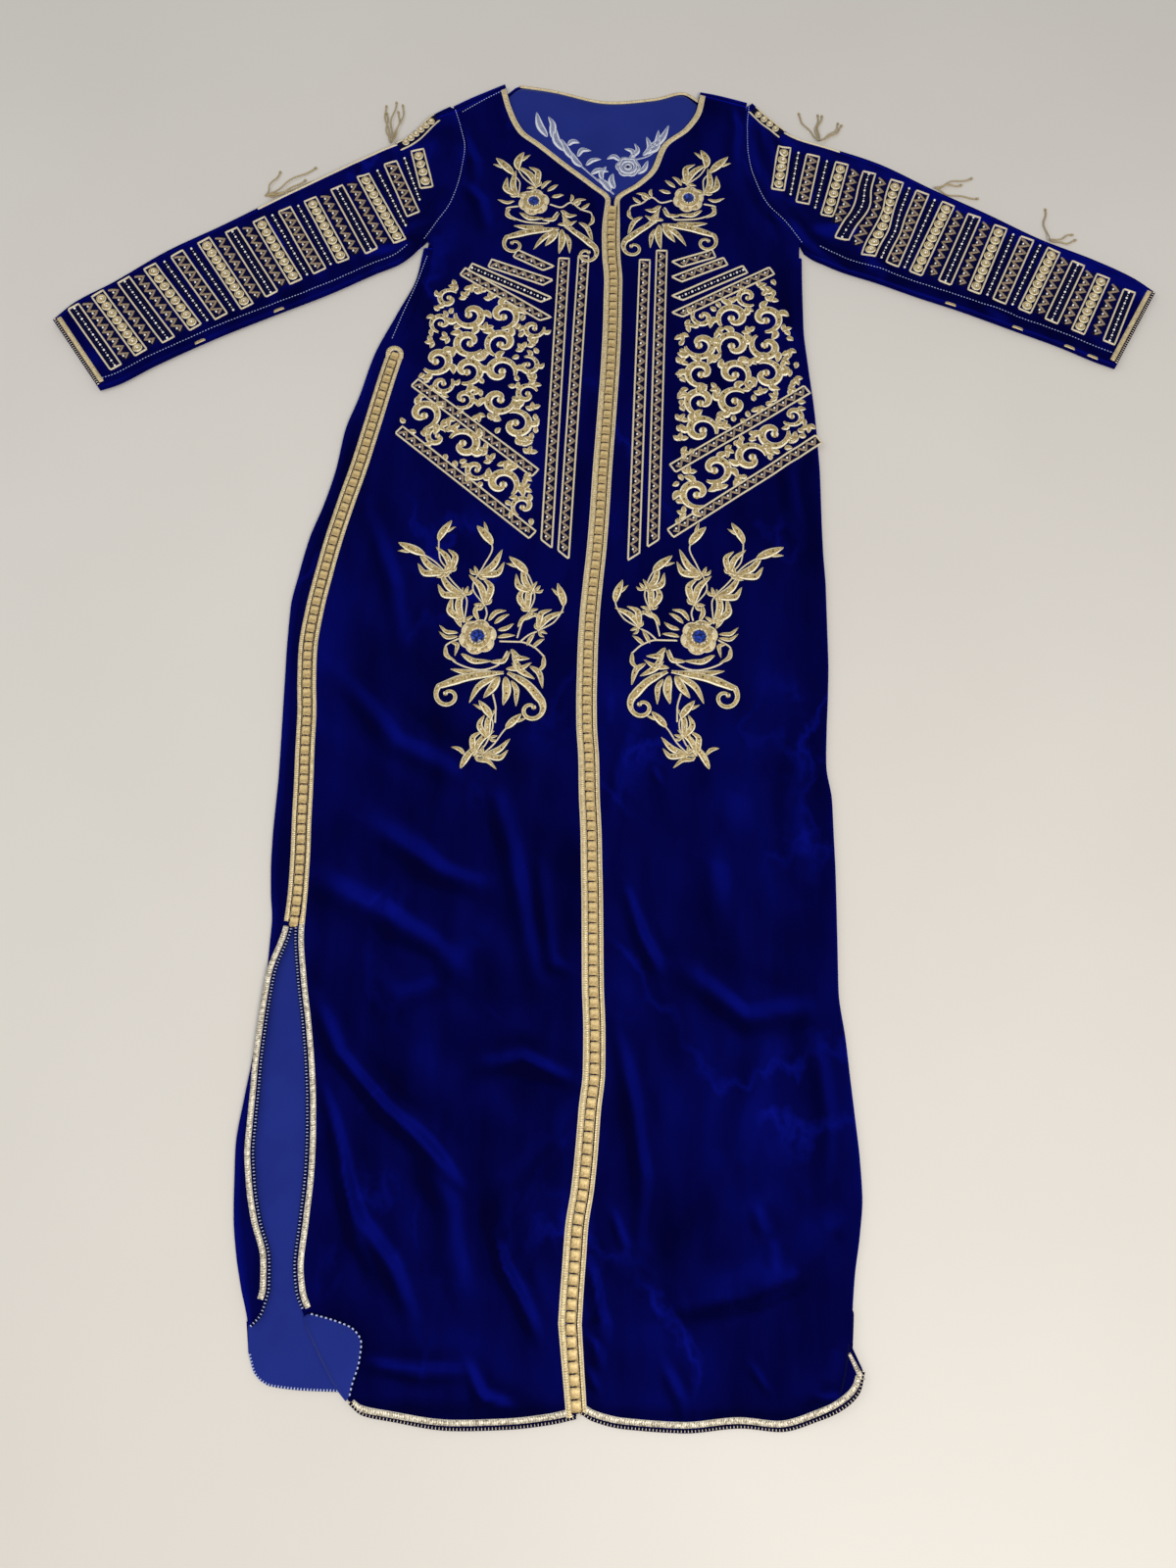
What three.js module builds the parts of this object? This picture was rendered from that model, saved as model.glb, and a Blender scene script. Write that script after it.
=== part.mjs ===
// A velvet kaftan laid flat, face up. Millimetres, +Z up, neck towards +Y, hem towards -Y.
// "Right" and "left" are the wearer's, so the right side lies at -X.
//
// Cloth is a closed wall about a sheet of mid-surface points. Each panel is a table of rows that run
// from its outer edge to its inner edge, and a braid or band is made from its panel's own points,
// moved out. The back is cut wider on the right, so it comes round the side to the front, and at both
// shoulders it comes over the top. The left front is cut wider in the same way and goes under. The
// stretch of a panel that goes round such a fold is a solid of its own, a small gap from the rest.
import * as THREE from 'three';

// ---- driving sizes ----
const CLOTH = 1.5;            // velvet wall
const LINING = 1.0;           // lining wall
const GAP = 0.3;              // between two pieces at a seam, or one lying on another
const ROLL = 3.4;             // outer radius of a folded side
const RIM_FADE = 24;          // how far a folded side stays plump, from its fold inwards
const SLEEVE_RIM_FADE = 15;
const FOLD_STEPS = 4;         // steps round a folded side
const UNDER_LAP = 12;         // how far the right side fold goes under the garment
const SHOULDER_LAP = 1.5;
const LINING_INSET = 1.5;
const BAND = 10;              // shoulder band on the sleeve's top fold
const CORD_EDGE = 4;          // corded edge outside a braid
const BRAID = 5.3;            // braid width
const BRAID_THICK = 1.0;
const HEM_DROP_FROM = -694;   // fronts run past the back's hem here and sink to the ground
const HEM_DROP_LENGTH = 20;
const SIDE_RIM_FROM = 500;    // folded sides are plump below this level
const SIDE_RIM_RUN = 40;
const RIDGE_RUN = 30;         // ridges of the cloth fade over this run at a folded side
const RIDGE_MOST = 2.6;
const NECK_CORD = 3;          // cord along the back neck
const NECK_CORD_FROM = -120;
const NECK_CORD_TO = 95;
const BUTTON_PITCH = 10;
const BUTTON_HALF = 3.4;      // half width of a knotted button
const BUTTON_THICK = 2.6;

const BACK_Z = CLOTH / 2;
const LINING_Z = CLOTH + GAP + LINING / 2;
const FRONT_Z = CLOTH + LINING + 2 * GAP + CLOTH / 2;
const SLEEVE_Z = 2 * CLOTH + GAP;
const FOLD_TOP_Z = 2 * ROLL - CLOTH / 2;
const HEM_Z = CLOTH / 2 + 0.5;

const table = (names, ...rows) =>
  rows.map((row) => Object.fromEntries(names.map((name, i) => [name, row[i]])));

// ---- cut of the body below the armholes, one row for each level ----
// fold: outer side of the right fold. back, front: the two edges of the right side seam and slit.
// centre: where the fronts meet. side: outer side of the left fold. under: cloth turned under there.
const BODY = table(['y', 'fold', 'back', 'front', 'centre', 'side', 'under'],
  [478, -210, -199, -199, 2, 217.5, 12],
  [440, -215, -203, -203, 5, 217, 24],
  [390, -234, -215, -215, 5, 217, 32],
  [336, -255, -232, -232, 4, 221, 35],
  [284, -267, -243, -243, 2, 226, 35],
  [240, -279, -251.5, -251.5, 0, 228.5, 35],
  [197, -284, -260, -260, -2, 230, 35],
  [154, -293, -270, -270, -3.5, 230, 35],
  [112, -305, -279, -279, -5.5, 230.5, 35],
  [71, -312, -286, -286, -8.5, 232, 35],
  [32, -317, -291.5, -291.5, -11, 232, 35],
  [-8, -316.5, -294.5, -294.5, -12, 232, 35],
  [-46, -315, -292.5, -292.5, -12, 230.5, 35],
  [-84, -313.5, -289, -289, -11, 228, 35],
  [-121, -312, -287.5, -287.5, -8, 226.5, 35],
  [-157, -311, -285.5, -285.5, -6.5, 231, 35],
  [-193, -311, -284, -284, -4, 231.5, 35],
  [-228, -310, -282, -282, -2.5, 232, 35],
  [-262, -307, -281, -281, -1, 231.8, 35],
  [-293, -303, -282, -281, 0, 231.5, 35],
  [-340, -303, -293.5, -275, 1.5, 231, 35],
  [-385, -305.5, -296.5, -266, 4, 236, 35],
  [-420, -308.5, -297.5, -260, 4.5, 239, 35],
  [-454, -312, -297, -255.5, 1.5, 242, 35],
  [-490, -315, -297, -252.5, -0.5, 245, 35],
  [-521, -313, -293, -251.5, -3, 246, 35],
  [-554, -310, -285, -252.5, -7.5, 242.5, 35],
  [-586, -304, -273.5, -254, -9, 237, 35],
  [-612, -297, -271, -250, -10.3, 234, 35]);

// The folded strip's rounded end at the hem.
const STRIP_END = table(['y', 'fold', 'back'], [-631, -290.5, -276], [-640, -288, -283.3]);

// ---- fronts above: rows from the shoulder and armhole to the neck edge and the centre ----
// inset: how far the braid lies from the inner edge, least along the neck, more below its point.
const RIGHT_TOP = table(['xo', 'yo', 'xi', 'yi', 'inset'],
  [-182, 674, -127, 708, 0.8], [-175, 652, -120, 683, 0.8], [-168, 617, -104, 648, 0.8],
  [-170, 594, -80, 627, 0.8], [-173, 571, -47, 597, 0.8], [-181, 541, -17, 571, 0.8],
  [-194, 516, 2, 552, 2], [-207, 491, 1, 510, CORD_EDGE]);
const LEFT_TOP = table(['xo', 'yo', 'xi', 'yi', 'inset'],
  [157, 690, 102, 706, 0.8], [155, 664, 98, 684, 0.8], [155, 638, 84, 658, 0.8],
  [158, 606, 58, 632, 0.8], [165, 578, 45, 596, 0.8], [177, 550, 27, 574, 0.8],
  [197, 528, 2, 552, 2], [215, 500, 1, 510, CORD_EDGE]);

// ---- hems, from the outer edge to the centre ----
const RIGHT_HEM = table(['x', 'y'], [-195, -699], [-183, -708], [-160, -712], [-108, -718],
  [-62, -716], [-24, -711], [-3, -706]);
const LEFT_HEM = table(['x', 'y'], [241, -664], [237, -679], [225, -691], [203, -702], [168, -712],
  [138, -710], [87, -715], [37, -713], [12, -708], [-3.8, -699]);
const BACK_HEM = table(['x', 'y'], [-286, -662], [-278, -680], [-264, -688], [-230, -690.5],
  [-120, -691], [20, -691], [196, -690]);
const RIGHT_LAST_ROW = { xo: -240, yo: -632, xi: -11, yi: -632 };
const LEFT_LAST_ROW = { xo: 231, yo: -644, xi: -11, yi: -632 };

// The right front's corner, turned up over its fold: rows from the fold to the corded edge.
const CORNER = table(['xa', 'ya', 'xb', 'yb'], [-241, -632, -236, -629], [-236, -642, -214, -634],
  [-229, -654, -196, -641], [-221, -667, -189, -652], [-213, -679, -190, -667],
  [-206.5, -688, -196, -681], [-205, -691, -201.5, -688]);

// ---- back above the armholes ----
const BACK_NECK = table(['x', 'y'], [-179, 669], [-127, 703], [-111, 717], [-77, 712], [-4, 696],
  [50, 703], [82, 713], [102, 701], [156.5, 685]);
const BACK_TOP = table(['y', 'left', 'right'], [655, -175.5, 155], [638, -172.5, 154.8],
  [617, -167.8, 158], [578, -172, 164.8], [571, -172.8, 167.5], [550, -178, 176.8],
  [541, -180.8, 185], [528, -187.3, 196.8], [516, -193.8, 204], [500, -202, 214.5],
  [491, -206.8, 214.8]);
const LINING_NECK = table(['x', 'y'], [-126, 696], [-108, 712], [-77, 708.5], [-4, 692.5],
  [50, 699.5], [80, 708.5], [100, 694]);
const LINING_TOP = table(['y', 'left', 'right'], [655, -165, 145], [617, -162, 150],
  [571, -168, 160], [516, -188, 198], [491, -200, 206]);

// ---- shoulder folds: outer side of each, neck end first ----
const RIGHT_SHOULDER = table(['x', 'y'], [-129, 716], [-147, 706], [-168, 694], [-188, 681]);
const LEFT_SHOULDER = table(['x', 'y'], [103, 712], [119, 709], [138, 704], [158, 698]);

// ---- sleeves: cross rows from the top fold to the underarm fold, shoulder to cuff ----
const RIGHT_SLEEVE = table(['xt', 'yt', 'xb', 'yb'], [-191, 681, -213.5, 484],
  [-210, 668, -220, 474], [-238, 633, -226, 467], [-270, 614, -236, 458], [-324, 580, -262, 444],
  [-391, 536, -312, 415], [-440, 503, -369, 386], [-498, 466, -430, 354], [-553, 422, -492, 317],
  [-592, 394, -531, 291], [-612, 371, -548, 284]);
const LEFT_SLEEVE = table(['xt', 'yt', 'xb', 'yb'], [163, 698, 221, 487],
  [184, 674, 231, 479], [213, 650, 243, 473], [252, 636, 262, 464], [308, 615, 302, 450],
  [370, 580, 345, 433], [430, 548, 392, 416], [490, 514, 446, 394], [548, 488, 500, 372],
  [590, 465, 538, 354], [613, 446, 558, 346]);
const RIGHT_UNDERARM = 12;    // sleeve seam above the lower fold
const LEFT_UNDERARM = 17;

// ---- largest folds of the cloth: soft ridges (rise > 0) and troughs on the fronts ----
const RIDGES = table(['x', 'y', 'turn', 'length', 'width', 'rise'],
  [-175, -330, 62, 190, 24, 1.7], [-120, -420, 105, 260, 30, 2.0], [-205, -480, 98, 240, 22, 1.8],
  [-60, -300, 60, 160, 26, 1.5], [-95, -560, 118, 150, 26, 1.8], [-40, -520, 60, 150, 24, 1.9],
  [-150, 60, 75, 260, 34, 1.3], [-150, 480, 40, 110, 20, 1.2], [60, -250, 70, 230, 26, 1.6],
  [150, -330, 20, 170, 24, 1.5], [120, -480, 55, 220, 28, 1.9], [190, -420, 95, 260, 24, 1.6],
  [60, -600, 15, 140, 24, 1.6], [150, -90, 80, 260, 32, 1.4], [185, 520, 120, 130, 20, 1.3],
  [95, 260, 92, 250, 36, 1.0]);

// ---- hard pieces ----
const STONES = table(['name', 'x', 'y', 'radius'], ['stone_upper_right', -88, 546, 6],
  ['stone_upper_left', 89, 556, 6], ['stone_lower_right', -124, 6, 7.5],
  ['stone_lower_left', 101, 12, 7.5]);
const STONE_HIGH = 4;
const STONE_PROFILE = [[0, 0], [1, 0], [1, 0.3], [0.7, 0.85], [0, 1]];   // shares of radius, height
const ROSETTE_WIDER = 9;      // padded rosette about each stone
const ROSETTE_HIGH = 2.6;
const ROSETTE_PROFILE = [[0, 0], [1, 0], [1, 0.4], [0.75, 0.9], [0.5, 1], [0, 1]];
const ROUND_SIDES = 16;

// Bunches of loose cord ends on the ground: the root at the top fold, then the reach to each side.
const TASSELS = table(['name', 'x', 'y', 'xa', 'ya', 'xb', 'yb'],
  ['tassel_right_1', -251, 628, -270, 681, -246, 686],
  ['tassel_right_2', -392, 539, -384, 582, -337, 588],
  ['tassel_left_1', 241, 643, 217, 686, 271, 674],
  ['tassel_left_2', 375, 581, 416, 601, 424, 577],
  ['tassel_left_3', 500, 513, 497, 558, 530, 524]);
const TASSEL_THICK = 1.8;
const TASSEL_LIFT = 0.2;
const TASSEL_ROOT = 1;

const COLOURS = {
  velvet: new THREE.MeshStandardMaterial({ color: 0x0b0a52, roughness: 0.9, metalness: 0 }),
  lining: new THREE.MeshStandardMaterial({ color: 0x24329a, roughness: 0.8, metalness: 0 }),
  gold: new THREE.MeshStandardMaterial({ color: 0xcdb98a, roughness: 0.5, metalness: 0.4 }),
  cream: new THREE.MeshStandardMaterial({ color: 0xd6cfb8, roughness: 0.7, metalness: 0.1 }),
  stone: new THREE.MeshStandardMaterial({ color: 0x2b57b8, roughness: 0.1, metalness: 0 }),
};

const root = new THREE.Group();

const add = (name, geometry, material) => {
  const mesh = new THREE.Mesh(geometry, material);
  mesh.name = name;
  root.add(mesh);
  return mesh;
};

// ---- curves and levels ----

const lerp = (a, b, t) => a + (b - a) * t;
const clamp01 = (t) => Math.min(1, Math.max(0, t));
const soft = (t) => clamp01(t) ** 2 * (3 - 2 * clamp01(t));

// The value of one column of a table at a level y, between rows that run down in y.
function level(rows, name, y) {
  if (y >= rows[0].y) return rows[0][name];
  for (let i = 1; i < rows.length; i += 1) {
    if (y >= rows[i].y) {
      const t = (rows[i - 1].y - y) / (rows[i - 1].y - rows[i].y);
      return lerp(rows[i - 1][name], rows[i][name], t);
    }
  }
  return rows.at(-1)[name];
}

// The point at a share t of the length of a line of {x, y} points.
function along(points, t) {
  const lengths = [0];
  for (let i = 1; i < points.length; i += 1) {
    const step = Math.hypot(points[i].x - points[i - 1].x, points[i].y - points[i - 1].y);
    lengths.push(lengths[i - 1] + step);
  }
  const want = t * lengths.at(-1);
  let i = 1;
  while (i < points.length - 1 && lengths[i] < want) i += 1;
  const s = (want - lengths[i - 1]) / (lengths[i] - lengths[i - 1]);
  return { x: lerp(points[i - 1].x, points[i].x, s), y: lerp(points[i - 1].y, points[i].y, s) };
}

// Distance from (x, y) to a line of points.
function distanceTo(points, x, y) {
  let least = Infinity;
  for (let i = 1; i < points.length; i += 1) {
    const a = points[i - 1];
    const dx = points[i].x - a.x;
    const dy = points[i].y - a.y;
    const t = clamp01(((x - a.x) * dx + (y - a.y) * dy) / (dx * dx + dy * dy));
    least = Math.min(least, Math.hypot(x - a.x - dx * t, y - a.y - dy * t));
  }
  return least;
}

const bell = (d, width) => Math.exp(-((d / width) ** 2));

function ridges(x, y) {
  let rise = 0;
  for (const ridge of RIDGES) {
    const turn = THREE.MathUtils.degToRad(ridge.turn);
    const dx = x - ridge.x;
    const dy = y - ridge.y;
    const run = dx * Math.cos(turn) + dy * Math.sin(turn);
    const off = -dx * Math.sin(turn) + dy * Math.cos(turn);
    rise += ridge.rise * bell(off, ridge.width) * bell(run, ridge.length / 2);
  }
  return Math.min(rise, RIDGE_MOST);
}

// Mid-surface of the front layer: plump at the folded sides and shoulders, sunk at the hem.
function frontLevel(x, y) {
  const sideGap = Math.min(x - level(BODY, 'fold', y), level(BODY, 'side', y) - x);
  const shoulderGap = Math.min(distanceTo(RIGHT_SHOULDER, x, y), distanceTo(LEFT_SHOULDER, x, y));
  const nearSide = y < SIDE_RIM_FROM ? bell(Math.max(0, sideGap - ROLL), RIM_FADE) : 0;
  const nearTop = bell(Math.max(0, shoulderGap - ROLL), RIM_FADE);
  const sideShare = nearSide * soft((SIDE_RIM_FROM - y) / SIDE_RIM_RUN);
  const rim = (FOLD_TOP_Z - FRONT_Z) * Math.max(sideShare, nearTop);
  const sunk = soft((HEM_DROP_FROM - y) / HEM_DROP_LENGTH);
  const spread = soft((sideGap - ROLL) / RIDGE_RUN);
  return lerp(FRONT_Z + rim + ridges(x, y) * spread * (1 - sunk) * (1 - nearTop), HEM_Z, sunk);
}

// ---- making walls ----

function geometryOf(points, faces) {
  const geometry = new THREE.BufferGeometry();
  geometry.setAttribute('position', new THREE.Float32BufferAttribute(points, 3));
  geometry.setIndex(faces);
  geometry.computeVertexNormals();
  return geometry;
}

function gridNormals(grid) {
  const across = new THREE.Vector3();
  const down = new THREE.Vector3();
  return grid.map((row, i) => row.map((_, j) => {
    const above = grid[Math.max(0, i - 1)][j];
    const below = grid[Math.min(grid.length - 1, i + 1)][j];
    across.subVectors(row[Math.min(row.length - 1, j + 1)], row[Math.max(0, j - 1)]);
    down.subVectors(below, above);
    return new THREE.Vector3().crossVectors(down, across).normalize();
  }));
}

// A closed wall between two sheets of the same rows and columns. The upper is on the normal's side.
function closedSheets(upper, lower) {
  const rows = upper.length;
  const cols = upper[0].length;
  const points = [...upper.flat(), ...lower.flat()].flatMap((p) => [p.x, p.y, p.z]);
  const up = (i, j) => i * cols + j;
  const low = (i, j) => rows * cols + i * cols + j;
  const faces = [];
  const quad = (a, b, c, d) => faces.push(a, b, c, a, c, d);
  for (let i = 0; i < rows - 1; i += 1) {
    for (let j = 0; j < cols - 1; j += 1) {
      quad(up(i, j), up(i + 1, j), up(i + 1, j + 1), up(i, j + 1));
      quad(low(i, j), low(i, j + 1), low(i + 1, j + 1), low(i + 1, j));
    }
    quad(up(i, 0), low(i, 0), low(i + 1, 0), up(i + 1, 0));
    quad(up(i, cols - 1), up(i + 1, cols - 1), low(i + 1, cols - 1), low(i, cols - 1));
  }
  for (let j = 0; j < cols - 1; j += 1) {
    quad(up(0, j), up(0, j + 1), low(0, j + 1), low(0, j));
    quad(up(rows - 1, j), low(rows - 1, j), low(rows - 1, j + 1), up(rows - 1, j + 1));
  }
  return geometryOf(points, faces);
}

// A wall of even thickness about a grid of mid-surface points, whose normals point to the outside.
function wall(grid, thickness) {
  const normals = gridNormals(grid);
  const moved = (side) => grid.map((row, i) =>
    row.map((p, j) => p.clone().addScaledVector(normals[i][j], (side * thickness) / 2)));
  return closedSheets(moved(1), moved(-1));
}

// A strip on a sheet, laid between two lines of its points that run side by side, B to the left of A
// as they go. size(i) gives its inset from each line, its thickness and its lift at station i.
function strip(lineA, lineB, size, cloth = CLOTH) {
  const across = new THREE.Vector3();
  const onward = new THREE.Vector3();
  const normals = lineA.map((a, i) => {
    across.subVectors(lineB[i], a);
    onward.subVectors(lineA[Math.min(i + 1, lineA.length - 1)], lineA[Math.max(i - 1, 0)]);
    return new THREE.Vector3().crossVectors(onward, across).normalize();
  });
  const raised = (height) => lineA.map((a, i) => {
    across.subVectors(lineB[i], a);
    const wide = across.length();
    across.normalize();
    const { inset = 0, thick = BRAID_THICK, lift = GAP } = size(i);
    return [inset, wide - inset].map((run) => a.clone().addScaledVector(across, run)
      .addScaledVector(normals[i], cloth / 2 + lift + (height ? thick : 0)));
  });
  return closedSheets(raised(true), raised(false));
}

const plainStrip = () => ({});
const column = (grid, j, from = 0, to = grid.length) => grid.slice(from, to).map((row) => row[j]);

// Points every step along two lines that run side by side.
function paced(lineA, lineB, step) {
  const lengths = [0];
  for (let i = 1; i < lineA.length; i += 1) {
    lengths.push(lengths[i - 1] + lineA[i].distanceTo(lineA[i - 1]));
  }
  const count = Math.round(lengths.at(-1) / step);
  const pairs = Array.from({ length: count + 1 }, (_, k) => {
    const want = (k * lengths.at(-1)) / count;
    let i = 1;
    while (i < lineA.length - 1 && lengths[i] < want) i += 1;
    const t = (want - lengths[i - 1]) / (lengths[i] - lengths[i - 1]);
    return [lineA, lineB].map((line) => line[i - 1].clone().lerp(line[i], t));
  });
  return [pairs.map((pair) => pair[0]), pairs.map((pair) => pair[1])];
}

// ---- the fronts ----

const PANEL_SHARES = [0.28, 0.46, 0.64, 0.82];   // columns of plain cloth across a front

// Rows above a hem: how far up, and the most of the way back to the last level row.
const HEM_ROWS = table(['up', 'most'], [24, 0.8], [CORD_EDGE + BRAID, 0.62], [CORD_EDGE, 0.55],
  [0, 0.5]);

// Columns of a front row: corded edge and braid at both ends, plain cloth between.
function rowColumns(row) {
  const wide = Math.hypot(row.xi - row.xo, row.yi - row.yo);
  const inner = row.inset ?? CORD_EDGE;
  const outer = CORD_EDGE;
  const marks = [0, outer, outer + BRAID, ...PANEL_SHARES.map((share) => share * wide),
    wide - inner - BRAID, wide - inner, wide];
  return marks.map((mark) => mark / wide);
}

function frontGrid(rows, lastRow, hem, outerGap, innerGap) {
  const place = (x, y) => new THREE.Vector3(x, y, frontLevel(x, y));
  const grid = rows.map((row) => rowColumns(row).map((t) => {
    const shift = t === 0 ? outerGap : t === 1 ? innerGap : 0;
    return place(lerp(row.xo, row.xi, t) + shift, lerp(row.yo, row.yi, t));
  }));
  const shares = rowColumns(lastRow);
  for (const { up, most } of [{ up: Infinity, most: 1 }, ...HEM_ROWS]) {
    grid.push(shares.map((t) => {
      const start = { x: lerp(lastRow.xo, lastRow.xi, t), y: lerp(lastRow.yo, lastRow.yi, t) };
      const end = along(hem, t);
      const run = Math.hypot(end.x - start.x, end.y - start.y);
      const share = 1 - Math.min(up, run * most) / run;
      const shift = t === 1 ? innerGap : 0;
      return place(lerp(start.x, end.x, share) + shift, lerp(start.y, end.y, share));
    }));
  }
  return grid;
}

const seamGap = GAP / 2;
const rightRows = [...RIGHT_TOP, ...BODY.map((row) =>
  ({ xo: row.front, yo: row.y, xi: row.centre, yi: row.y }))];
const leftRows = [...LEFT_TOP, ...BODY.map((row) =>
  ({ xo: row.side - ROLL, yo: row.y, xi: row.centre, yi: row.y }))];

const rightFront = frontGrid(rightRows, RIGHT_LAST_ROW, RIGHT_HEM, seamGap, -seamGap);
const leftFront = frontGrid(leftRows, LEFT_LAST_ROW, LEFT_HEM, 0, seamGap)
  .map((row) => row.reverse());

// The corner turned up on the right front, with its lining outwards.
const turnedCorner = CORNER.map((row) => [0, 0.5, 1].map((t) => {
  const x = lerp(row.xa, row.xb, t);
  const y = lerp(row.ya, row.yb, t);
  return new THREE.Vector3(x, y, frontLevel(x, y) + CLOTH + 3 * GAP);
}));

// ---- stretches of cloth that go round a fold ----

// Points round a fold in the plane of a unit direction (ux, uy) that points into the garment.
function foldArc(edge, ux, uy) {
  const radius = ROLL - CLOTH / 2;
  return Array.from({ length: FOLD_STEPS + 1 }, (_, k) => {
    const turn = (Math.PI * k) / FOLD_STEPS;
    const out = ROLL - radius * Math.sin(turn);
    return new THREE.Vector3(edge.x + ux * out, edge.y + uy * out, ROLL + radius * Math.cos(turn));
  });
}

const NARROW_MARKS = [0.83, 0.56, 0.28];   // least places of the seam's columns on a narrow strip

// Right side: from the seam on the front, round the fold and under the garment.
const sideFold = [...BODY, ...STRIP_END].map((row) => {
  const wide = row.back - row.fold - ROLL;
  const marks = [wide, wide - CORD_EDGE, wide - CORD_EDGE - BRAID].map((mark, i) =>
    Math.max(mark, wide * NARROW_MARKS[i]));
  const top = marks.map((mark, i) => {
    const x = row.fold + ROLL + mark - (i === 0 ? seamGap : 0);
    return new THREE.Vector3(x, row.y, frontLevel(x, row.y));
  });
  const arc = foldArc({ x: row.fold, y: row.y }, 1, 0);
  return [...top, ...arc, new THREE.Vector3(row.fold + ROLL + UNDER_LAP, row.y, BACK_Z)];
});

// Left side: from the front's outer column, round the fold and under to the side seam.
const underFold = BODY.map((row) => {
  const arc = foldArc({ x: row.side, y: row.y }, -1, 0);
  arc[0].x += 2 * GAP;
  return [...arc, new THREE.Vector3(row.side - row.under + seamGap, row.y, BACK_Z)];
});

// A shoulder: from the front's shoulder seam over the top and down to the back.
function shoulderFold(edgeLine, seamPoints) {
  const stations = 4;
  return Array.from({ length: stations }, (_, k) => {
    const edge = along(edgeLine, k / (stations - 1));
    const seam = along(seamPoints, k / (stations - 1));
    const wide = Math.hypot(seam.x - edge.x, seam.y - edge.y);
    const ux = (seam.x - edge.x) / wide;
    const uy = (seam.y - edge.y) / wide;
    const at = (out, z) => new THREE.Vector3(edge.x + ux * out, edge.y + uy * out, z);
    const start = at(wide - GAP, 0);
    start.z = frontLevel(start.x, start.y);
    return [start, ...foldArc(edge, ux, uy), at(ROLL + SHOULDER_LAP, BACK_Z)];
  });
}

const seamLine = (grid) => grid[0].map((p) => ({ x: p.x, y: p.y }));
const rightShoulder = shoulderFold(RIGHT_SHOULDER, seamLine(rightFront).reverse()).reverse();
const leftShoulder = shoulderFold(LEFT_SHOULDER, seamLine(leftFront));

// ---- back and its lining: flat outlines ----

const HEM_CORNER = { x: 4, y: 1.5 };   // where the hem's curve leaves the folded strip

function flatPiece(neck, topRows, leftInset, rightInset, hem, low, high) {
  const end = { ...BODY.at(-1), ...STRIP_END.at(-1) };
  const sideRows = [...BODY, { ...end, ...STRIP_END[0] }, end].map((row) => ({
    y: row.y,
    left: row.fold + ROLL + leftInset,
    right: row.side - row.under - rightInset,
  }));
  const rows = [...topRows, ...sideRows];
  const corner = { x: hem[0].x - HEM_CORNER.x, y: end.y - HEM_CORNER.y };
  const outline = [...rows.map((row) => [row.left, row.y]), [corner.x, corner.y],
    ...hem.map((p) => [p.x, p.y]), ...rows.map((row) => [row.right, row.y]).reverse(),
    ...neck.map((p) => [p.x, p.y]).reverse()];
  const shape = new THREE.Shape(outline.map(([x, y]) => new THREE.Vector2(x, y)));
  const geometry = new THREE.ExtrudeGeometry(shape, { depth: high - low, bevelEnabled: false });
  return geometry.translate(0, 0, low);
}

const LINING_HEM_UP = 9;
const LINING_HEM = BACK_HEM.map((p) => ({ x: p.x - 3 * Math.sign(p.x), y: p.y + LINING_HEM_UP }));

// ---- sleeves: one piece each, open at armhole and cuff, with the seam above the lower fold ----

const ARMHOLE_ROWS = [0, 2, 4, 5, 6, 7];

// Rows of a sleeve ring: front layer from the top fold to the seam, then round the lower fold, the
// layer on the ground, and round the top fold. facing is -1 for the right sleeve, 1 for the left.
function sleeveRows(cut, frontTop, underarm, facing) {
  const armhole = ARMHOLE_ROWS.map((i) =>
    ({ x: frontTop[i].xo + facing * GAP, y: frontTop[i].yo }));
  const shares = armhole.map((_, i) => {
    const run = (upTo) => armhole.slice(1, upTo + 1).reduce((sum, p, k) =>
      sum + Math.hypot(p.x - armhole[k].x, p.y - armhole[k].y), 0);
    return run(i) / run(armhole.length - 1);
  });
  const last = cut.at(-1);
  const before = cut.at(-2);
  const cuffRun = Math.hypot(last.xt - before.xt, last.yt - before.yt);
  const nearCuff = [CORD_EDGE + BRAID, CORD_EDGE].map((back) => Object.fromEntries(
    Object.keys(last).map((key) => [key, lerp(last[key], before[key], back / cuffRun)])));
  return [...cut.slice(0, -1), ...nearCuff, last].map((row, k) => {
    const wide = Math.hypot(row.xb - row.xt, row.yb - row.yt);
    const ux = (row.xb - row.xt) / wide;
    const uy = (row.yb - row.yt) / wide;
    const onLine = (run) => ({ x: row.xt + ux * run, y: row.yt + uy * run, run });
    const plain = shares.map((share) => onLine(lerp(BAND, wide - underarm, share)));
    const middle = k === 0 ? armhole.map((p, i) => ({ ...p, run: plain[i].run })) : plain;
    const levelAt = (p) => {
      const rim = Math.max(bell(Math.max(0, p.run - ROLL), SLEEVE_RIM_FADE),
        bell(Math.max(0, wide - ROLL - p.run), SLEEVE_RIM_FADE));
      const body = Math.min(frontLevel(p.x, p.y), FOLD_TOP_Z);
      const own = SLEEVE_Z + (FOLD_TOP_Z - SLEEVE_Z) * rim;
      return lerp(body, own, Math.min(1, k / 2));
    };
    const at = (p, z) => new THREE.Vector3(p.x, p.y, z);
    const seam = middle.at(-1);
    const pastSeam = { x: seam.x + ux * GAP, y: seam.y + uy * GAP, run: seam.run + GAP };
    const top = foldArc({ x: row.xt, y: row.yt }, ux, uy);
    const lower = foldArc({ x: row.xb, y: row.yb }, -ux, -uy);
    return [at(pastSeam, levelAt(pastSeam)), ...lower,
      ...[...middle].reverse().map((p) => at(p, BACK_Z)), ...top.reverse(),
      ...middle.map((p) => at(p, levelAt(p)))];
  });
}

const rightSleeve = sleeveRows(RIGHT_SLEEVE, RIGHT_TOP, RIGHT_UNDERARM, -1);
const leftSleeve = sleeveRows(LEFT_SLEEVE, LEFT_TOP, LEFT_UNDERARM, 1);

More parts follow.
